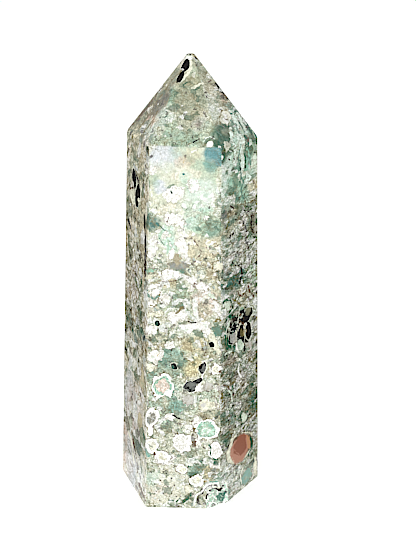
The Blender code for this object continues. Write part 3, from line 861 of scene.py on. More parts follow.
@dataclass(frozen=True)
class Footprint:
    """The place of a marking: an ellipsoid set in a facet, in millimetres."""

    middle: Vector
    across: Vector
    along: Vector
    depth: Vector

    @property
    def radius(self) -> float:
        """The mean half size on the facet."""
        return (self.across.length * self.along.length) ** 0.5

    def unit(self, points: Array) -> Array:
        """How far points lie from the middle, with the rim at 1."""
        axes = np.array(Matrix((self.across, self.along, self.depth)).transposed().inverted())
        return np.linalg.norm((points - np.array(self.middle)) @ axes.T, axis=1)


@dataclass(frozen=True)
class Track:
    """The route of a thin marking over the stone, in millimetres."""

    route: tuple[Vector, ...]
    half_width: float

    def edge(self, points: Array) -> Array:
        """How far points lie outside the marking.

        Args:
            points: The points, in millimetres.

        Returns:
            A distance for each point, negative inside.
        """
        nearest = np.full(len(points), FAR)
        for start, end in zip(self.route, self.route[1:]):
            origin, run = np.array(start), np.array(end - start)
            share = np.clip((points - origin) @ run / max(run @ run, 1e-9), 0.0, 1.0)
            gap = np.linalg.norm(points - origin - share[:, None] * run, axis=1)
            nearest = np.minimum(nearest, gap)
        return nearest - self.half_width


def wander(knots: list[Vector], step: float = 0.45, reach: float = 0.13) -> list[Vector]:
    """Makes a route a little crooked between its knots.

    Args:
        knots: The points that it runs through, in millimetres.
        step: How far apart its bends are.
        reach: How far it strays.

    Returns:
        The crooked route.
    """
    route = [knots[0]]
    for start, end in zip(knots, knots[1:]):
        count = max(1, round((end - start).length / step))
        for index in range(1, count + 1):
            place = start.lerp(end, index / count)
            route.append(place if index == count else place + noise.noise_vector(place * 1.7) * 2.0 * reach)
    return route


@dataclass(frozen=True)
class Face:
    """One polished plane of the stone, in millimetres."""

    facing: Vector
    reach: float
    side: Side

    def meets(self, start: Vector, direction: Vector) -> Vector:
        """Where a line from a point in a direction meets the plane."""
        return start + direction * ((self.reach - self.facing.dot(start)) / self.facing.dot(direction))

    def off(self, points: Array) -> Array:
        """How far points stand out of the plane, negative inside the stone."""
        return points @ np.array(self.facing) - self.reach


class Rock(Enum):
    """What a triangle of the stone's mesh belongs to."""

    POLISHED = 0
    EDGE = 1
    OPEN = 2


@dataclass
class StoneMesh:
    """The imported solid, refined until markings can be painted on its corners. In millimetres."""

    front_limit: float = 0.31
    side_limit: float = 0.42
    hidden_limit: float = 0.72
    hollow_limit: float = 0.36
    fine_limit: float = 0.21
    fine_reach: float = 0.12
    plane_slack: float = 0.012
    edge_slack: float = 0.36
    least_facet: float = 30.0
    top: float = 94.9
    points: Array = field(init=False)
    corners: Array = field(init=False)
    rock: Array = field(init=False)
    face: Array = field(init=False)
    faces: list[Face] = field(init=False)
    near: Array = field(init=False)

    def __post_init__(self) -> None:
        """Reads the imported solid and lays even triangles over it."""
        copy = bmesh.new()
        copy.from_mesh(frame["nodes"]["stone"].data)
        bmesh.ops.remove_doubles(copy, verts=copy.verts[:], dist=1e-6)
        bmesh.ops.scale(copy, vec=(1.0 / MM,) * 3, verts=copy.verts[:])
        flat = math.radians(0.05)
        bmesh.ops.dissolve_limit(copy, angle_limit=flat, verts=copy.verts[:], edges=copy.edges[:])
        self.find_faces(copy)
        self.split_long_edges(copy)
        self.lay_triangles(copy)
        copy.free()
        self.near = np.full(len(self.points), FAR)
        self.sort()

    def find_faces(self, solid: bmesh.types.BMesh) -> None:
        """Finds the polished planes, widest first.

        Args:
            solid: The solid, with flat faces in one piece.
        """
        self.faces = []
        for flat in sorted(solid.faces, key=lambda one: -one.calc_area()):
            reach = flat.normal.dot(flat.verts[0].co)
            known = any(f.facing.dot(flat.normal) > 0.9998 and abs(f.reach - reach) < 0.1 for f in self.faces)
            if flat.calc_area() > self.least_facet and not known:
                azimuth = math.degrees(math.atan2(flat.normal.x, -flat.normal.y))
                side = min(Side, key=lambda one: abs((one.value - azimuth + 180.0) % 360.0 - 180.0))
                self.faces.append(Face(flat.normal.copy(), reach, side))

    def limit_on(self, face: Face) -> float:
        """How long a triangle's sides may be on a polished plane."""
        if face.facing.z < -0.5:
            return 2.0 * self.hidden_limit
        seen = {Side.FRONT: self.front_limit, Side.RIGHT: self.side_limit, Side.LEFT: self.side_limit}
        return seen.get(face.side, self.hidden_limit)

    def nearest_face(self, flat: bmesh.types.BMFace) -> Face:
        """The polished plane that a flat face lies in, or next to."""
        middle = flat.calc_center_median()
        return min(self.faces, key=lambda one: abs(one.facing.dot(middle) - one.reach))

    def split_long_edges(self, solid: bmesh.types.BMesh) -> None:
        """Puts corners along the solid's edges, close enough for the faces beside them.

        Args:
            solid: The solid, with flat faces in one piece.
        """
        for edge in solid.edges[:]:
            limit = min(self.limit_on(self.nearest_face(flat)) for flat in edge.link_faces)
            rest = edge
            for left in range(math.ceil(edge.calc_length() / limit), 1, -1):
                rest = bmesh.utils.edge_split(rest, rest.verts[0], (left - 1.0) / left)[0]
                if rest.calc_length() < 0.5 * limit:
                    break

    def lay_triangles(self, solid: bmesh.types.BMesh) -> None:
        """Covers every flat face with triangles of about one size.

        Args:
            solid: The solid, with enough corners along its edges.
        """
        solid.verts.index_update()
        points, corners = [corner.co.copy() for corner in solid.verts], []
        for flat in solid.faces:
            rim = [corner.index for corner in flat.verts]
            if len(rim) == 3:
                corners.append(rim)
                continue
            across = flat.normal.cross(flat.verts[1].co - flat.verts[0].co).normalized()
            axes = Matrix((across.cross(flat.normal), across, flat.normal))
            outline = [(axes @ corner.co) for corner in flat.verts]
            inner = self.fill(outline, self.limit_on(self.nearest_face(flat)))
            places = [corner.to_2d() for corner in outline] + inner
            loop = [list(range(len(rim)))]
            found = delaunay_2d_cdt(places, [], loop, 1, 1e-7)
            names: dict[int, int] = {}
            for index in sorted({index for trio in found[2] for index in trio}):
                source, place = found[3][index], found[0][index]
                if source and source[0] < len(rim):
                    names[index] = rim[source[0]]
                else:
                    names[index] = len(points)
                    points.append(axes.transposed() @ Vector((place.x, place.y, outline[0].z)))
            corners.extend([names[index] for index in trio] for trio in found[2])
        self.points = np.array(points)
        self.corners = np.array(corners)

    def fill(self, outline: list[Vector], limit: float) -> list[Vector]:
        """Spreads points evenly over the inside of an outline.

        Args:
            outline: The outline's corners.
            limit: How far apart the points are.

        Returns:
            The points, in the plane.
        """
        rim = np.array([corner[:2] for corner in outline])
        low, high = rim.min(axis=0), rim.max(axis=0)
        step = limit * 0.93
        rows = np.arange(low[1], high[1], step * 0.866)
        grid = []
        for row, height in enumerate(rows):
            across = np.arange(low[0] + step * 0.5 * (row % 2), high[0], step)
            grid.append(np.stack([across, np.full(len(across), height)], axis=1))
        if not grid:
            return []
        tree = kdtree.KDTree(len(rim))
        for index, corner in enumerate(rim):
            tree.insert((*corner, 0.0), index)
        tree.balance()
        spots = np.concatenate(grid)
        return [Vector(spot) for spot in spots if tree.find((*spot, 0.0))[2] > 0.62 * step]

    def sort(self) -> None:
        """Tells facets, eased edges and hollows apart."""
        off = np.stack([np.abs(face.off(self.points)) for face in self.faces])
        worst = off[:, self.corners].max(axis=2)
        self.face = worst.argmin(axis=0)
        self.rock = np.full(len(self.corners), Rock.OPEN.value)
        heights = self.points[self.corners][:, :, 2].min(axis=1)
        self.rock[((worst < self.edge_slack).sum(axis=0) > 1) | (heights > self.top)] = Rock.EDGE.value
        self.rock[worst.min(axis=0) < self.plane_slack] = Rock.POLISHED.value

    def limits(self) -> Array:
        """How long each triangle's sides may be."""
        limit = 1.25 * np.array([self.limit_on(face) for face in self.faces])[self.face]
        limit[self.rock == Rock.OPEN.value] = self.hollow_limit
        close = self.near[self.corners].min(axis=1) < self.fine_reach
        return np.where(close, np.minimum(limit, self.fine_limit), limit)

    def refine(self) -> None:
        """Halves the longest sides until every triangle is within its limit."""
        while self.halve(self.limits()):
            pass

    def halve(self, limit: Array) -> bool:
        """Halves each side that is too long, and its neighbours' longest sides.

        Args:
            limit: How long each triangle's sides may be.

        Returns:
            Whether any side was too long.
        """
        corners, count = self.corners, len(self.points)
        ends = np.stack([corners, np.roll(corners, -1, axis=1)], axis=2)
        lengths = np.linalg.norm(self.points[ends[:, :, 0]] - self.points[ends[:, :, 1]], axis=2)
        keys = ends.min(axis=2) * count + ends.max(axis=2)
        unique, side = np.unique(keys, return_inverse=True)
        side = side.reshape(corners.shape)
        cut = np.zeros(len(unique), dtype=bool)
        cut[side[lengths > limit[:, None]]] = True
        if not cut.any():
            return False
        longest = lengths.argmax(axis=1)
        rows = np.arange(len(corners))
        total = 0
        while total != cut.sum():
            total = cut.sum()
            touched = cut[side].any(axis=1)
            cut[side[rows, longest][touched]] = True
        middle = np.full(len(unique), -1)
        middle[cut] = count + np.arange(cut.sum())
        low, high = unique[cut] // count, unique[cut] % count
        self.points = np.concatenate([self.points, (self.points[low] + self.points[high]) / 2])
        self.near = np.concatenate([self.near, (self.near[low] + self.near[high]) / 2])
        order = (longest[:, None] + np.arange(3)) % 3
        a, b, c = corners[rows[:, None], order].T
        m, n, p = middle[side[rows[:, None], order]].T
        whole, left, right = m < 0, p >= 0, n >= 0
        pieces = (
            (whole, (a, b, c)),
            (~whole & ~left, (a, m, c)),
            (~whole & left, (a, m, p)),
            (~whole & left, (m, c, p)),
            (~whole & ~right, (m, b, c)),
            (~whole & right, (m, b, n)),
            (~whole & right, (m, n, c)),
        )
        self.corners = np.concatenate([np.stack(trio, axis=1)[keep] for keep, trio in pieces])
        self.rock = np.concatenate([self.rock[keep] for keep, _ in pieces])
        self.face = np.concatenate([self.face[keep] for keep, _ in pieces])
        return True

    def depth(self, points: Array) -> Array:
        """How far points stand out of the stone's planes, negative inside the stone."""
        return np.stack([face.off(points) for face in self.faces]).max(axis=0)

    def normals(self) -> Array:
        """The direction that each corner faces."""
        spans = self.points[self.corners]
        flat = np.cross(spans[:, 1] - spans[:, 0], spans[:, 2] - spans[:, 0])
        total = np.zeros_like(self.points)
        for place in range(3):
            np.add.at(total, self.corners[:, place], flat)
        return total / np.maximum(np.linalg.norm(total, axis=1, keepdims=True), 1e-12)

    def corners_of(self, rock: Rock) -> Array:
        """Which corners belong to at least one triangle of a kind of rock."""
        found = np.zeros(len(self.points), dtype=bool)
        found[self.corners[self.rock == rock.value]] = True
        return found


@dataclass
class Sight:
    """Finds where on the stone a point of the photograph lies."""

    camera: PhotoCamera
    stone: StoneMesh
    reach: float = 5.0
    tree: BVHTree = field(init=False)

    def __post_init__(self) -> None:
        """Prepares the stone for lines of sight."""
        self.tree = BVHTree.FromPolygons(self.stone.points.tolist(), self.stone.corners.tolist())

    def face(self, pixel: Pixel) -> Face:
        """The polished plane that a point of the photograph lies on, or next to.

        Args:
            pixel: The point.

        Returns:
            The plane.
        """
        start, direction = Vector(self.camera.place), self.camera.sight(pixel)
        hit = self.tree.ray_cast(start, direction)[0]
        if hit is None:
            across = -start.x * direction.x - start.y * direction.y
            closest = start + direction * across / (direction.x ** 2 + direction.y ** 2)
            hit = self.tree.find_nearest(closest)[0]
        facing = [face for face in self.stone.faces if face.facing.dot(start - hit) > 0.0]
        return min(facing, key=lambda one: abs(one.facing.dot(hit) - one.reach))

    def footprint(self, mark: Mark) -> Footprint:
        """Lays a marking's ellipse on the stone, and into it along the line of sight.

        Args:
            mark: The marking.

        Returns:
            Its place on the stone.
        """
        face, start = self.face(mark.at), Vector(self.camera.place)
        cosine, sine = math.cos(math.radians(mark.turn)), math.sin(math.radians(mark.turn))
        wide, tall = mark.half
        middle = face.meets(start, self.camera.sight(mark.at))
        across, along = (
            face.meets(start, self.camera.sight((mark.at[0] + x, mark.at[1] + y))) - middle
            for x, y in ((cosine * wide, sine * wide), (-sine * tall, cosine * tall))
        )
        return Footprint(middle, across, along, self.camera.sight(mark.at) * self.reach)

    def track(self, route: Sequence[Pixel], width: float) -> Track:
        """Lays a line of the photograph on the stone.

        Args:
            route: The points that it runs through.
            width: Its width.

        Returns:
            Its place on the stone.
        """
        start = Vector(self.camera.place)
        knots = [self.face(pixel).meets(start, self.camera.sight(pixel)) for pixel in route]
        scale = (knots[0] - start).length / self.camera.focal
        lean = abs(self.face(route[0]).facing.dot(self.camera.sight(route[0])))
        across, down = abs(route[-1][0] - route[0][0]), abs(route[-1][1] - route[0][1])
        upright = down / max(across + down, 0.1)
        return Track(tuple(wander(knots)), width * scale / 2 * (1.0 + upright * (1.0 / lean - 1.0)))


class Canvas:
    """What is painted on the corners of the stone's mesh: named numbers and named colours."""

    def __init__(self, points: Array, ground: Array) -> None:
        """Starts with bare rock.

        Args:
            points: The corners, in millimetres.
            ground: A colour for each corner.
        """
        count = len(points)
        self.points = points
        self.numbers = {"cream_share": np.full(count, 0.2), "dark_share": np.full(count, 0.6)}
        self.numbers |= {"orb_radius": np.ones(count), "orb_edge": np.full(count, FAR)}
        self.colours = {name: np.zeros((count, 4)) for name in ("orb_core", "orb_shell")}
        self.colours["ground"] = ground
        for layer in Layer:
            self.numbers[f"{layer.value}_edge"] = np.full(count, FAR)
            self.colours[f"{layer.value}_colour"] = np.zeros((count, 4))
        self.seed = 0

    def outline(self, print_: Footprint, wobble: float, size: float = 1.6) -> Array:
        """How far corners lie from a marking's middle, with its uneven rim at 1.

        Args:
            print_: The marking's place.
            wobble: How uneven the rim is.
            size: The length of its waves, against its radius.

        Returns:
            A number for each corner.
        """
        self.seed += 1
        unit = print_.unit(self.points)
        close = unit < 2.5
        unit[close] += wobble * ripple(self.points[close], size * print_.radius, self.seed)
        return unit

    def wash(self, print_: Footprint, mineral: Mineral, strength: float,
             kept: Array | float = 1.0) -> None:
        """Tints the ground softly. Each corner takes the kept share of the strength."""
        share = (strength * kept * np.clip((1.3 - self.outline(print_, 0.3)) / 0.5, 0.0, 1.0))[:, None]
        self.colours["ground"] = self.colours["ground"] * (1.0 - share) + np.array(mineral.colour) * share

    def mass(self, print_: Footprint, cream: float, dark: float, kept: Array | float = 1.0) -> None:
        """Sets how much of the rock is cream cells and dark lines.

        Args:
            print_: Where.
            cream: The share of cream cells.
            dark: How dark and thick the lines are.
            kept: The share of the change that each corner takes.
        """
        share = kept * np.clip((1.4 - print_.unit(self.points)) / 0.6, 0.0, 1.0)
        for name, level in (("cream_share", cream), ("dark_share", dark)):
            self.numbers[name] = self.numbers[name] * (1.0 - share) + level * share

    def lay(self, edge: Array, mineral: Mineral, layer: Layer) -> None:
        """Lays a hard-edged marking over the earlier ones of a layer.

        Args:
            edge: How far each corner lies outside it, in millimetres.
            mineral: Its colour.
            layer: Which layer it goes in.
        """
        before = self.numbers[f"{layer.value}_edge"]
        self.colours[f"{layer.value}_colour"][(edge < before) | (edge < 0.0)] = mineral.colour
        self.numbers[f"{layer.value}_edge"] = np.minimum(before, edge)

    def blot(self, print_: Footprint, mineral: Mineral, wobble: float, layer: Layer) -> None:
        """Adds a hard-edged blotch. The wobble says how uneven its rim is."""
        self.lay((self.outline(print_, wobble) - 1.0) * print_.radius, mineral, layer)

    def draw(self, track: Track, mineral: Mineral, wobble: float, layer: Layer) -> None:
        """Adds a hard-edged line.

        Args:
            track: Where.
            mineral: Its colour.
            wobble: How uneven its width is.
            layer: Which layer it goes in.
        """
        self.seed += 1
        edge = track.edge(self.points)
        close = edge < 3.0 * track.half_width
        waves = ripple(self.points[close], 5.0 * track.half_width, self.seed)
        edge[close] += wobble * track.half_width * waves
        self.lay(edge, mineral, layer)

    def orb(self, print_: Footprint, core: Mineral, shell: Mineral) -> None:
        """Adds a spherulite.

        Args:
            print_: Where.
            core: The colour of its middle.
            shell: The colour round the middle.
        """
        edge = (self.outline(print_, 0.12) - 1.0) * print_.radius
        nearer = edge < self.numbers["orb_edge"]
        self.numbers["orb_edge"][nearer] = edge[nearer]
        self.numbers["orb_radius"][nearer] = print_.radius
        self.colours["orb_core"][nearer] = core.colour
        self.colours["orb_shell"][nearer] = shell.colour

    def put_on(self, mesh: Mesh) -> None:
        """Writes the painting on a mesh.

        Args:
            mesh: The mesh, with one corner for each of the canvas.
        """
        for name, values in self.numbers.items():
            made = mesh.attributes.new(name, "FLOAT", "POINT")
            made.data.foreach_set("value", values.astype(np.float32))
        for name, values in self.colours.items():
            made = mesh.attributes.new(name, "FLOAT_COLOR", "POINT")
            made.data.foreach_set("color", values.astype(np.float32).ravel())


@dataclass(frozen=True)
class SeenMarkings:
    """Lays the markings that the photograph shows on the stone."""

    sight: Sight
    facet_slack: float = 0.16
    facet_fade: float = 0.12

    def fine_tracks(self) -> list[tuple[Stroke, Track]]:
        """The places of the thin lines."""
        return [(stroke, self.sight.track(stroke.route, stroke.width)) for stroke in STROKES]

    def kept(self, mark: Mark, points: Array) -> Array | float:
        """How much of a marking each point takes: nothing beyond the facet that it keeps to."""
        off = self.sight.face(mark.at).off(points) if mark.facet else FAR
        return np.clip((off + self.facet_slack) / self.facet_fade, 0.0, 1.0)

    def paint(self, canvas: Canvas) -> None:
        """Paints them.

        Args:
            canvas: What is painted.
        """
        place = self.sight.footprint
        for patch in PATCHES:
            canvas.wash(place(patch), patch.mineral, patch.strength, self.kept(patch, canvas.points))
        for zone in ZONES:
            canvas.mass(place(zone), zone.cream, zone.dark, self.kept(zone, canvas.points))
        for blob in BLOBS:
            canvas.blot(place(blob), blob.mineral, blob.wobble, blob.layer)
        for stroke, track in self.fine_tracks():
            canvas.draw(track, stroke.mineral, stroke.wobble, stroke.layer)
        for blob in DEEP_BLOBS:
            canvas.blot(place(blob), blob.mineral, blob.wobble, blob.layer)
        for orb in ORBS:
            canvas.orb(place(orb), orb.core, orb.shell)


@dataclass
class HiddenMarkings:
    """Scatters markings of the same kinds over the sides that the photograph doesn't show."""

    stone: StoneMesh
    seed: int = 41
    washes: int = 90
    blots: int = 150
    lines: int = 60
    orbs: int = 22
    wash_size: tuple[float, float] = (1.2, 4.5)
    blot_size: tuple[float, float] = (0.5, 1.9)
    orb_size: tuple[float, float] = (0.9, 2.3)
    line_width: float = 0.16
    washed: tuple[Mineral, ...] = (
        M.TEAL, M.MINT, M.CREAM, M.TAN, M.MAUVE, M.DEEP_GREEN,
        M.ROSE, M.OLIVE_GREY, M.BEIGE, M.DUN, M.DEEP_TEAL,
    )
    blotted: tuple[Mineral, ...] = (
        M.WHITE, M.WHITE, M.CREAM, M.CREAM, M.MINT, M.LILAC,
        M.BEIGE, M.MAUVE, M.DEEP_TEAL, M.TEAL,
    )
    lined: tuple[Mineral, ...] = (M.UMBER, M.DEEP_GREEN, M.BROWN, M.CREAM)
    cores: tuple[Mineral, ...] = (M.ROSE, M.TEAL, M.CREAM, M.LILAC, M.MAUVE)
    shells: tuple[Mineral, ...] = (M.MINT, M.CREAM, M.WHITE, M.BEIGE)
    draw: random.Random = field(init=False)
    choices: list[int] = field(init=False)
    weights: list[float] = field(init=False)

    def __post_init__(self) -> None:
        """Finds the hidden triangles."""
        self.draw = random.Random(self.seed)
        stone = self.stone
        hidden = np.array([face.side not in SEEN_SIDES and face.facing.z > -0.5 for face in stone.faces])
        keep = hidden[stone.face] & (stone.rock == Rock.POLISHED.value)
        spans = stone.points[stone.corners]
        areas = np.linalg.norm(np.cross(spans[:, 1] - spans[:, 0], spans[:, 2] - spans[:, 0]), axis=1)
        self.choices = np.flatnonzero(keep).tolist()
        self.weights = areas[keep].tolist()

    def spot(self) -> tuple[Vector, Vector, Vector, Vector]:
        """A random point on a hidden facet, and that facet's three directions."""
        chosen = self.draw.choices(self.choices, self.weights)[0]
        middle = Vector(self.stone.points[self.stone.corners[chosen]].mean(axis=0))
        facing = self.stone.faces[self.stone.face[chosen]].facing
        level = Vector((0.0, 0.0, 1.0)).cross(facing).normalized()
        return middle, level, facing.cross(level), facing

    def footprint(self, sizes: tuple[float, float]) -> Footprint:
        """A random ellipse on a hidden facet.

        Args:
            sizes: The least and the greatest half size, in millimetres.

        Returns:
            Its place.
        """
        middle, level, upright, facing = self.spot()
        size, angle = self.draw.uniform(*sizes), self.draw.uniform(0.0, math.pi)
        thin = size * self.draw.uniform(0.55, 1.0)
        across = level * math.cos(angle) + upright * math.sin(angle)
        return Footprint(middle, across * size, facing.cross(across) * thin, facing * thin)

    def track(self) -> Track:
        """A random wavy line on a hidden facet."""
        middle, level, upright, _ = self.spot()
        heading, places = self.draw.uniform(0.0, 2.0 * math.pi), [middle]
        for _ in range(self.draw.randint(2, 4)):
            heading += self.draw.uniform(-0.9, 0.9)
            step = level * math.cos(heading) + upright * math.sin(heading)
            places.append(places[-1] + step * self.draw.uniform(0.6, 1.4))
        return Track(tuple(places), self.line_width * self.draw.uniform(0.7, 1.6))

    def paint(self, canvas: Canvas) -> None:
        """Paints them.

        Args:
            canvas: What is painted.
        """
        choose, share = self.draw.choice, self.draw.uniform
        for _ in range(self.washes):
            canvas.wash(self.footprint(self.wash_size), choose(self.washed), share(0.4, 0.9))
        for _ in range(self.washes // 4):
            canvas.mass(self.footprint((4.0, 9.0)), share(0.05, 0.5), share(0.2, 0.6))
        for _ in range(self.blots):
            canvas.blot(self.footprint(self.blot_size), choose(self.blotted), 0.4, Layer.BROAD)
        for _ in range(self.lines):
            canvas.draw(self.track(), choose(self.lined), 0.5, Layer.FINE)
        for _ in range(self.orbs):
            canvas.orb(self.footprint(self.orb_size), choose(self.cores), choose(self.shells))


@dataclass(frozen=True)
class PolishedRock:
    """The finish of the polished faces. Scales are cells or bends to a millimetre."""

    roughness: float = 0.17
    refraction: float = 1.54
    broad_cells: float = 0.55
    fine_cells: float = 1.15
    net_cells: float = 2.2
    grain_cells: float = 3.2
    speck_cells: float = 1.7
    pit_depth: float = 0.00002

    def build(self) -> Material:
        """Makes the material."""
        material = bpy.data.materials.new("polished_rhyolite")
        bench = bench_for(material)
        layers = RockLayers(self, bench)
        layers.cells()
        layers.speckle()
        layers.blotches()
        layers.spherulites()
        layers.strokes()
        relief = bench.relief(bench.rise(layers.grain, 0.0, 0.35), self.pit_depth, 0.5)
        bench.surface(layers.colour, self.roughness, IOR=self.refraction, Normal=relief)
        return material


class RockLayers:
    """The colour of the polished rock, laid on layer by layer."""

    def __init__(self, rock: PolishedRock, bench: Bench) -> None:
        """Starts with the ground.

        Args:
            rock: The finish, with the sizes of its cells.
            bench: Where the nodes go.
        """
        self.rock, self.bench = rock, bench
        self.place = bench.painted("pattern", "Vector")
        self.dark = bench.painted("dark_share", "Fac")
        self.lines = self.net()
        self.colour = bench.painted("ground")
        self.grain = self.grains()

    def lay(self, share: Value, colour: Value) -> None:
        """Lays a colour over the colour so far."""
        self.colour = self.bench.mix(share, self.colour, colour)

    def contrast(self, share: float) -> Socket:
        """How strongly a pattern shows, by how dark the rock is."""
        return self.bench.add(self.bench.times(self.dark, share), 0.12)

    def grains(self) -> Socket:
        """The finest cells: how bright each is, from 0 to 1, with dark walls."""
        bench = self.bench
        bent = bench.sway(self.place, 1.4, 0.25)
        pick = bench.cells(bent, self.rock.grain_cells)[0]
        walls = bench.rise(bench.walls(bent, self.rock.grain_cells), 0.0, 0.16)
        return bench.times(bench.rise(pick, -0.1, 0.7), walls)

    def net(self) -> Socket:
        """The net of thin dark lines between the grains: 1 on a line, and 0 off it."""
        bench = self.bench
        bent = bench.sway(self.place, 0.9, 0.7, 3.0)
        gaps = bench.clouds(self.place, 1.1, 0.42, 0.52)
        net = bench.times(bench.rise(bench.walls(bent, self.rock.net_cells), 0.2, 0.06), gaps)
        return bench.math("MAXIMUM", net, bench.veins(bent, 0.85, 0.035, 3.0))

    def cells(self) -> None:
        """Lays clouds over the rock's ground, then its cream cells, its deep green ones and their walls."""
        bench = self.bench
        bent = bench.sway(self.place, 0.5, 1.3, 4.0)
        clouds = bench.parts(bench.noise(bent, 0.4, 4.0)[1])
        for cloud, mineral in zip(clouds, (M.TEAL, M.TAN, M.CREAM)):
            self.lay(bench.times(bench.rise(cloud, 0.54, 0.7), 0.22), mineral)
        cream = bench.painted("cream_share", "Fac")
        for scale, pale in ((self.rock.broad_cells, M.CREAM), (self.rock.fine_cells, M.WHITE)):
            pick = bench.cells(bent, scale)
            self.lay(bench.times(bench.above(cream, pick[0]), 0.8), pale)
            self.lay(bench.times(bench.above(bench.times(self.dark, 0.2), pick[1]), 0.6), M.DEEP_GREEN)
            vein = bench.times(bench.rise(bench.walls(bent, scale), 0.09, 0.03), bench.above(pick[0], 0.35))
            self.lay(bench.times(vein, self.contrast(0.9)), M.OLIVE)

    def inks(self) -> tuple[Socket, Socket]:
        """The colours of the rock's dark grains and pale grains, which take after the colour under them."""
        bench = self.bench
        warm = bench.clouds(self.place, 0.5, 0.4, 0.55)
        light_ink = bench.mix(warm, M.OLIVE, M.FERN)
        ink = bench.mix(bench.rise(self.dark, 0.4, 0.7), light_ink, bench.mix(warm, M.BROWN, M.DEEP_GREEN))
        shadow = bench.mix(1.0, self.colour, (0.2, 0.18, 0.13, 1.0), "MULTIPLY")
        glow = bench.mix(1.0, self.colour, (0.4, 0.4, 0.4, 1.0), "DODGE")
        return bench.mix(0.4, ink, shadow), bench.mix(0.12, glow, M.WHITE)

    def speckle(self) -> None:
        """Breaks the colour up into grains, and adds the dark net and specks."""
        bench, place = self.bench, self.place
        ink, pale = self.inks()
        strength, soft = self.contrast(0.8), self.contrast(0.25)
        mottle = bench.noise(bench.sway(place, 0.8, 0.8), 1.1, 3.0)[0]
        self.lay(bench.times(bench.rise(mottle, 0.48, 0.34), soft), ink)
        self.lay(bench.times(bench.rise(mottle, 0.52, 0.68), soft, 2.0), pale)
        tone = bench.cells(bench.sway(place, 0.9, 0.7, 3.0), self.rock.net_cells)[0]
        self.lay(bench.times(bench.rise(tone, 0.26, 0.2), strength, 0.6), ink)
        self.lay(bench.times(bench.rise(tone, 0.54, 0.64), strength), pale)
        self.lay(bench.times(bench.math("SUBTRACT", 1.0, self.grain), strength, 0.38), ink)
        self.lay(bench.times(bench.rise(self.grain, 0.6, 0.9), strength, 0.9), pale)
        self.lay(bench.times(self.lines, strength, 0.85), ink)
        pick = bench.cells(bench.sway(place, 2.0, 0.3), self.rock.speck_cells)
        spread = bench.clouds(place, 0.7, 0.45, 0.62, 3.0)
        self.lay(bench.times(bench.above(bench.times(spread, self.dark, 0.3), pick[2]), 0.62), M.UMBER)

    def blotches(self) -> None:
        """Adds the broad hard-edged markings, with an uneven rim and a thin dark outline."""
        bench, place = self.bench, self.place
        edge = bench.add(bench.painted("broad_edge", "Fac"), bench.drift(place, 1.5, 5.0, 1.8))
        gaps = bench.clouds(place, 0.9, 0.42, 0.5)
        self.lay(bench.times(bench.rise(edge, 0.26, 0.12), gaps, self.contrast(0.9)), M.BROWN)
        shade = bench.times(bench.clouds(place, 1.3, 0.5, 0.66, 4.0), 0.45)
        inside = bench.mix(shade, bench.painted("broad_colour"), bench.mix(gaps, M.SAGE, M.DUN))
        worn = bench.times(self.lines, bench.rise(edge, -0.9, -0.1), 0.55)
        worn = bench.math("MAXIMUM", worn, bench.times(self.lines, 0.28))
        self.lay(bench.rise(edge, 0.12, -0.08), bench.mix(worn, inside, M.OLIVE))

    def spherulites(self) -> None:
        """Adds the ringed spherulites: a core, a shell, a white rim and a broken dark outline."""
        bench, place = self.bench, self.place
        edge = bench.add(bench.painted("orb_edge", "Fac"), bench.drift(place, 1.1, 5.0, 1.7))
        ring = bench.add(bench.math("DIVIDE", edge, bench.painted("orb_radius", "Fac")), 1.0)
        ring = bench.add(ring, bench.drift(place, 0.7, 4.0, 1.3))
        inner = bench.mix(bench.rise(ring, 0.62, 0.5), bench.painted("orb_shell"), bench.painted("orb_core"))
        inner = bench.mix(bench.times(bench.veins(place, 1.0, 0.05, 3.0), 0.5), inner, M.WHITE)
        inner = bench.mix(bench.times(self.lines, 0.45), inner, M.OLIVE)
        rim = bench.rise(bench.add(edge, bench.drift(place, 0.7, 4.0, 1.2)), -0.5, -0.38)
        gaps = bench.clouds(place, 1.3, 0.4, 0.5)
        self.lay(bench.times(bench.rise(edge, 0.24, 0.1), gaps, 0.75), M.BROWN)
        self.lay(bench.rise(edge, 0.04, -0.04), bench.mix(rim, inner, M.WHITE))

    def strokes(self) -> None:
        """Adds the thin markings, and the crust round the open hollows."""
        bench, place = self.bench, self.place
        edge = bench.add(bench.painted("fine_edge", "Fac"), bench.drift(place, 3.0, 2.0, 0.22))
        worn = bench.add(bench.times(bench.clouds(place, 1.6, 0.36, 0.56, 3.0), 0.4), 0.55)
        worn = bench.math("MAXIMUM", worn, bench.rise(edge, -0.28, -0.5))
        self.lay(bench.times(bench.rise(edge, 0.06, -0.06), worn), bench.painted("fine_colour"))
        rim = bench.add(bench.painted("rim_edge", "Fac"), bench.drift(place, 0.9, 3.0, 1.6))
        crust = bench.mix(bench.clouds(place, 0.6, 0.4, 0.6), M.CREAM, M.PEARL)
        self.lay(bench.times(bench.rise(rim, 0.25, 0.1), 0.6), crust)


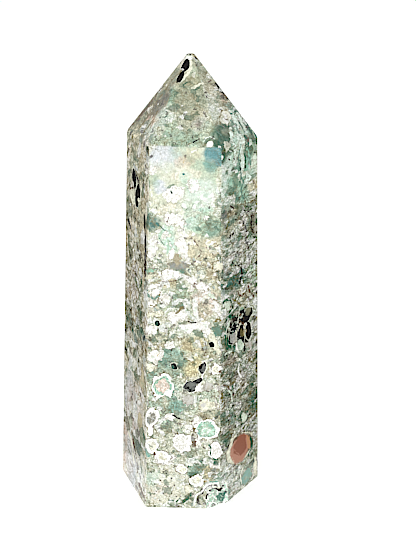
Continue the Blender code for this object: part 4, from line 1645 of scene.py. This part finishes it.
@dataclass(frozen=True)
class OpenRock:
    """The rough, unpolished rock inside the hollows: dark, or pale where the hollow is."""

    roughness: float = 0.85
    grain_cells: float = 2.6
    rib_cells: float = 0.75
    pit_depth: float = 0.0002

    def build(self) -> Material:
        """Makes the material."""
        material = bpy.data.materials.new("open_rock")
        bench = bench_for(material)
        place = bench.millimetres()
        pick = bench.cells(bench.sway(place, 1.5, 0.3), self.grain_cells)
        clouds = bench.noise(place, 1.2, 4.0)[0]
        deep = bench.mix(bench.rise(pick[0], 0.8, 0.95), M.BLACK, M.UMBER)
        pale = bench.mix(bench.rise(pick[1], 0.3, 0.9), M.MINT, M.LILAC)
        pale = bench.mix(bench.rise(clouds, 0.44, 0.36), pale, M.SLATE)
        ribs = bench.walls(bench.sway(place, 0.9, 0.6), self.rib_cells)
        pale = bench.mix(bench.rise(ribs, 0.12, 0.05), pale, M.WHITE)
        walls = bench.mix(bench.painted("pale_share", "Fac"), deep, pale)
        marked = bench.rise(bench.painted("deep_edge", "Fac"), 0.03, -0.03)
        walls = bench.mix(marked, walls, bench.painted("deep_colour"))
        bench.surface(walls, self.roughness, Normal=bench.relief(clouds, self.pit_depth, 1.0))
        return material


@dataclass(frozen=True)
class Quartz:
    """The small pale crystals in the hollows."""

    roughness: float = 0.12
    refraction: float = 1.54

    def build(self) -> Material:
        """Makes the material."""
        material = bpy.data.materials.new("milky_quartz")
        bench = bench_for(material)
        clouds = bench.clouds(bench.millimetres(), 1.1, 0.4, 0.6, 3.0)
        bench.surface(bench.mix(clouds, M.LILAC, M.MINT), self.roughness, IOR=self.refraction)
        return material


@dataclass
class Stone:
    """The polished stone: its mesh, its sunk slits, its rough hollows and its painting."""

    camera: PhotoCamera
    wall_roughness: float = 0.14
    slit_depth: float = 0.3
    pale_from: float = 7.0
    stretch: dict[Side, tuple[float, float]] = field(
        default_factory=lambda: {Side.LEFT: (0.46, 0.5), Side.RIGHT: (0.55, 1.05)}
    )
    mesh: StoneMesh = field(init=False)
    sight: Sight = field(init=False)

    def build(self) -> Object:
        """Makes the piece."""
        self.mesh = StoneMesh()
        self.sight = Sight(self.camera, self.mesh)
        seen = SeenMarkings(self.sight)
        self.mesh.refine()
        tracks = seen.fine_tracks()
        edges = [track.edge(self.mesh.points) for stroke, track in tracks if stroke.layer is Layer.FINE]
        self.mesh.near = np.minimum.reduce(edges)
        self.mesh.refine()
        self.roughen()
        canvas = Canvas(self.mesh.points, self.ground())
        HiddenMarkings(self.mesh).paint(canvas)
        seen.paint(canvas)
        self.sink([track for stroke, track in tracks if stroke.mineral is M.BLACK])
        return self.finish(canvas)

    def ground(self) -> Array:
        """The rock's colour at each corner, by the side that it lies on."""
        sides = [GROUNDS[face.side].colour for face in self.mesh.faces]
        colours = np.zeros((len(self.mesh.points), 4))
        for place in range(3):
            colours[self.mesh.corners[:, place]] = np.array(sides)[self.mesh.face]
        return colours

    def pattern(self) -> Array:
        """Where each triangle's corners read the rock's pattern, which is coarser on the lean sides."""
        mesh = self.mesh
        places = mesh.points[mesh.corners]
        front = next(face for face in mesh.faces if face.side is Side.FRONT)
        for side, (share, share_up) in self.stretch.items():
            beside = next(face for face in mesh.faces if face.side is side)
            level = np.array(Vector((0.0, 0.0, 1.0)).cross(beside.facing).normalized())
            lines = Matrix((front.facing, beside.facing, (0.0, 0.0, 1.0))).inverted()
            foot = np.array(lines @ Vector((front.reach, beside.reach, 0.0)))
            rise = np.array(lines @ Vector((front.reach, beside.reach, 1.0))) - foot
            on_side = np.array([face.side is side and face.facing.z > -0.5 for face in mesh.faces])[mesh.face]
            chosen = places[on_side]
            across = (chosen - foot - chosen[..., 2:] * rise) @ level
            chosen -= (1.0 - share) * across[..., None] * level
            chosen[..., 2] *= share_up
            places[on_side] = chosen
        return places

    def roughen(self) -> None:
        """Breaks up the walls of the hollows, and keeps them inside the stone."""
        mesh = self.mesh
        walls = mesh.corners_of(Rock.OPEN) & ~mesh.corners_of(Rock.POLISHED) & ~mesh.corners_of(Rock.EDGE)
        points, normals = mesh.points[walls], mesh.normals()[walls]
        waves = ripple(points, 1.1, 5) + 0.7 * ripple(points, 0.55, 6)
        moved = points + normals * self.wall_roughness * waves[:, None]
        keep = (mesh.depth(moved) < -0.04) & (mesh.depth(points) < -0.1)
        points[keep] = moved[keep]
        mesh.points[walls] = points

    def sink(self, slits: list[Track]) -> None:
        """Presses the dark slits into the stone.

        Args:
            slits: Where they run.
        """
        normals = self.mesh.normals()
        for slit in slits:
            edge = slit.edge(self.mesh.points)
            depth = self.slit_depth * np.clip(-edge / slit.half_width, 0.0, 1.0)
            self.mesh.points -= normals * depth[:, None]

    def finish(self, canvas: Canvas) -> Object:
        """Turns the mesh into the finished piece.

        Args:
            canvas: What is painted on it.

        Returns:
            The piece.
        """
        mesh = self.mesh
        data = bpy.data.meshes.new("polished_stone")
        data.from_pydata((mesh.points * MM).tolist(), [], mesh.corners.tolist())
        data.materials.append(PolishedRock().build())
        data.materials.append(OpenRock().build())
        data.polygons.foreach_set("material_index", (mesh.rock == Rock.OPEN.value).astype(np.int32))
        canvas.numbers |= self.hollow_numbers()
        canvas.put_on(data)
        made = data.attributes.new("pattern", "FLOAT_VECTOR", "CORNER")
        made.data.foreach_set("vector", self.pattern().astype(np.float32).ravel())
        data.shade_smooth()
        data.set_sharp_from_angle(angle=math.radians(14))
        piece = place_object("polished_stone", data)
        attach(piece, "root")
        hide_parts("stone")
        return piece

    def hollow_numbers(self) -> dict[str, Array]:
        """How far each corner lies from a hollow's rim, and how pale the hollow's rock is there."""
        mesh = self.mesh
        rim = np.flatnonzero(mesh.corners_of(Rock.OPEN) & mesh.corners_of(Rock.POLISHED))
        tree = kdtree.KDTree(len(rim))
        for index in rim:
            tree.insert(mesh.points[index], int(index))
        tree.balance()
        gaps = np.array([tree.find(point)[2] for point in mesh.points.tolist()])
        pale = np.clip((self.pale_from - mesh.points[:, 2]) / 2.0, 0.0, 1.0)
        return {"rim_edge": gaps, "pale_share": pale}


@dataclass
class Druse:
    """Small quartz crystals that line the hollows. In millimetres."""

    stone: StoneMesh
    sight: Sight
    spacing: float = 0.42
    width: float = 0.3
    height: float = 0.55
    seed: int = 7
    sides: int = 6
    point: float = 0.12
    least_size: float = 0.45
    least_depth: float = 0.28
    crowding: float = 9.0e6  # to a square metre, before the spacing thins them

    def bed(self) -> Object:
        """The hollow walls that crystals can grow on without standing proud of the stone."""
        stone = self.stone
        grown = np.zeros(len(stone.points), dtype=bool)
        for growth in GROWTHS:
            grown |= self.sight.footprint(growth).unit(stone.points) < 1.0
        hidden = np.array([face.side not in SEEN_SIDES for face in stone.faces])
        deep = stone.depth(stone.points)[stone.corners].max(axis=1) < -self.least_depth
        keep = (stone.rock == Rock.OPEN.value) & deep
        keep &= grown[stone.corners].all(axis=1) | hidden[stone.face]
        used, renamed = np.unique(stone.corners[keep], return_inverse=True)
        mesh = bpy.data.meshes.new("quartz_crystals")
        mesh.from_pydata((stone.points[used] * MM).tolist(), [], renamed.reshape(-1, 3).tolist())
        return place_object("quartz_crystals", mesh)

    def tree(self) -> tuple[NodeTree, dict[str, str]]:
        """Lays out the nodes that grow the crystals.

        Returns:
            The node tree, and the identifiers of its named inputs.
        """
        tree = bpy.data.node_groups.new("grow_crystals", "GeometryNodeTree")
        tree.interface.new_socket("Geometry", in_out="OUTPUT", socket_type="NodeSocketGeometry")
        kinds = dict.fromkeys(("Spacing", "Width", "Height"), "Float")
        kinds = {"Geometry": "Geometry"} | kinds | {"Seed": "Int"}
        known = {
            name: tree.interface.new_socket(name, in_out="INPUT", socket_type=f"NodeSocket{kind}").identifier
            for name, kind in kinds.items()
        }
        bench = Bench(tree)
        source = bench.node("NodeGroupInput").outputs
        feeds = {"Mesh": source["Geometry"], "Distance Min": source["Spacing"], "Seed": source["Seed"],
                 "Density Max": self.crowding}
        spread = bench.node("GeometryNodeDistributePointsOnFaces", feeds, distribute_method="POISSON").outputs
        feeds = {"Vertices": self.sides, "Radius Bottom": bench.times(source["Width"], 0.5),
                 "Radius Top": bench.times(source["Width"], self.point), "Depth": source["Height"]}
        crystal = bench.node("GeometryNodeMeshCone", feeds).outputs["Mesh"]
        feeds = {2: self.least_size, 3: 1.0, "Seed": source["Seed"]}
        size = bench.node("FunctionNodeRandomValue", feeds, data_type="FLOAT").outputs[1]
        feeds = {"Points": spread["Points"], "Instance": crystal}
        feeds |= {"Rotation": spread["Rotation"], "Scale": size}
        grown = bench.node("GeometryNodeInstanceOnPoints", feeds)
        solid = bench.node("GeometryNodeRealizeInstances", grown.outputs[:1])
        feeds = {"Geometry": solid.outputs[0], "Material": Quartz().build()}
        bench.node("NodeGroupOutput", bench.node("GeometryNodeSetMaterial", feeds).outputs[:1])
        return tree, known

    def build(self) -> Object:
        """Makes the piece."""
        piece = self.bed()
        growth = piece.modifiers.new("crystals", "NODES")
        growth.node_group, known = self.tree()
        sizes = {"Spacing": self.spacing * MM, "Width": self.width * MM, "Height": self.height * MM}
        for name, value in {**sizes, "Seed": self.seed}.items():
            growth[known[name]] = value
        evaluated = piece.evaluated_get(bpy.context.evaluated_depsgraph_get())
        grown = bpy.data.meshes.new_from_object(evaluated)
        piece.modifiers.remove(growth)
        piece.data = grown
        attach(piece, "root")
        return piece


@dataclass(frozen=True)
class Studio:
    """A plain pale floor, a white surround and soft light. Sizes are in metres."""

    floor_size: float = 8.0
    floor_shade: float = 0.88
    floor_glow: float = 0.4
    surround: float = 0.75
    key_place: tuple[float, float, float] = (-0.12, -1.0, 0.34)
    key_target: tuple[float, float, float] = (0.0, 0.0, 0.05)
    key_size: float = 0.8
    key_power: float = 4.5
    card_size: float = 0.24
    card_gap: float = 0.02
    card_back: float = 0.005
    card_height: float = 0.001
    haze_glow: float = 2.05
    haze_near: float = -0.10
    haze_far: float = -0.46
    haze_left: float = -0.09
    haze_right: float = 0.02
    haze_fade: float = 0.1
    haze_rim: float = 0.03

    def build(self) -> None:
        """Puts the floor, the surround and the lights in the scene."""
        world = bpy.data.worlds.new("white_surround")
        bench = bench_for(world)
        back = bench.node("ShaderNodeBackground", ((1.0, 1.0, 1.0, 1.0), self.surround))
        bench.node("ShaderNodeOutputWorld", back.outputs[:1])
        bpy.context.scene.world = world
        self.floor()
        self.haze_card()
        self.dark_cards()
        self.key_light()

    def floor(self) -> None:
        """Lays the floor."""
        material = bpy.data.materials.new("pale_floor")
        shade, white = (self.floor_shade,) * 3 + (1.0,), (1.0, 1.0, 1.0, 1.0)
        glow = {"Emission Color": white, "Emission Strength": self.floor_glow}
        bench_for(material).surface(shade, 0.9, **glow)
        self.sheet("floor", Vector((0.0, 0.0)), Vector((1.0, 1.0)) * self.floor_size / 2, 0.0, material)

    def haze_card(self) -> None:
        """Lays a glowing card in front of the stone, which only the polished facets mirror."""
        material = bpy.data.materials.new("soft_glow")
        bench = bench_for(material)
        place = bench.node("ShaderNodeTexCoord").outputs["Object"]
        spot = bench.node("ShaderNodeSeparateXYZ", (place,)).outputs
        fade = bench.rise(spot[1], self.haze_near, self.haze_near - self.haze_fade)
        side = bench.rise(spot[0], self.haze_right + self.haze_rim, self.haze_right - self.haze_rim)
        glow = bench.node("ShaderNodeEmission", {"Strength": bench.times(fade, side, self.haze_glow)})
        bench.node("ShaderNodeOutputMaterial", glow.outputs[:1])
        middle = Vector((self.haze_left + self.haze_right, self.haze_near + self.haze_far)) / 2
        half = Vector((self.haze_right - self.haze_left, self.haze_near - self.haze_far)) / 2
        half.x += self.haze_rim
        self.mirrored_only(self.sheet("glow_card", middle, half, self.card_height, material))

    def dark_cards(self) -> None:
        """Lays a dark card behind each side of the stone, which only the lean side facets mirror."""
        material = bpy.data.materials.new("dull_black")
        bench = bench_for(material)
        bench.node("ShaderNodeOutputMaterial", bench.node("ShaderNodeBsdfDiffuse", (M.BLACK,)).outputs[:1])
        half = Vector((self.card_size, self.card_size))
        for name, toward in (("dark_card_left", -1.0), ("dark_card_right", 1.0)):
            middle = Vector((toward * (self.card_gap + half.x), half.y - self.card_back))
            self.mirrored_only(self.sheet(name, middle, half, self.card_height, material))

    def mirrored_only(self, card: Object) -> None:
        """Hides a card from everything but reflections."""
        for ray in ("camera", "diffuse", "shadow", "transmission"):
            setattr(card, f"visible_{ray}", False)

    def sheet(
        self, name: str, middle: Vector, half: Vector, height: float, material: Material
    ) -> Object:
        """Lays a flat sheet.

        Args:
            name: Its name.
            middle: Its middle, seen from above.
            half: Its half width and half depth.
            height: How high it lies.
            material: What it is made of.

        Returns:
            The sheet.
        """
        low, high = middle - half, middle + half
        ends = [(x, y, height) for y in (low.y, high.y) for x in (low.x, high.x)]
        mesh = bpy.data.meshes.new(name)
        mesh.from_pydata(ends, [], [(0, 1, 3, 2)])
        mesh.materials.append(material)
        sheet = place_object(name, mesh)
        return sheet

    def key_light(self) -> None:
        """Hangs a square soft light that faces the stone."""
        data = bpy.data.lights.new("front_light", "AREA")
        data.size = self.key_size
        data.energy = self.key_power
        light = place_object("front_light", data)
        light.location = self.key_place
        light.rotation_mode = "QUATERNION"
        away = Vector(self.key_place) - Vector(self.key_target)
        light.rotation_quaternion = away.to_track_quat("Z", "Y")


def crisp_lens(strength: float) -> None:
    """Gives the picture the crispness of the photograph's lens.

    Args:
        strength: How much of the sharpening shows.
    """
    bench = bench_for(bpy.context.scene)
    picture = bench.node("CompositorNodeRLayers").outputs["Image"]
    feeds = {"Fac": strength, "Image": picture}
    sharp = bench.node("CompositorNodeFilter", feeds, filter_type="SHARPEN")
    bench.node("CompositorNodeComposite", {"Image": sharp.outputs["Image"]})


def main() -> None:
    """Builds the camera, the stone, its crystals and the studio in order."""
    logging.basicConfig(level=logging.INFO, format="%(name)s: %(message)s")
    bpy.context.scene.view_settings.view_transform = "Standard"
    noise.seed_set(WANDER_SEED)
    camera = PhotoCamera()
    camera.build()
    stone = Stone(camera)
    polished = stone.build()
    for piece in (polished, Druse(stone.mesh, stone.sight).build()):
        LOG.info("%s: %d faces", piece.name, len(piece.data.polygons))
    Studio().build()
    crisp_lens(0.1)


if __name__ == "__main__":
    main()
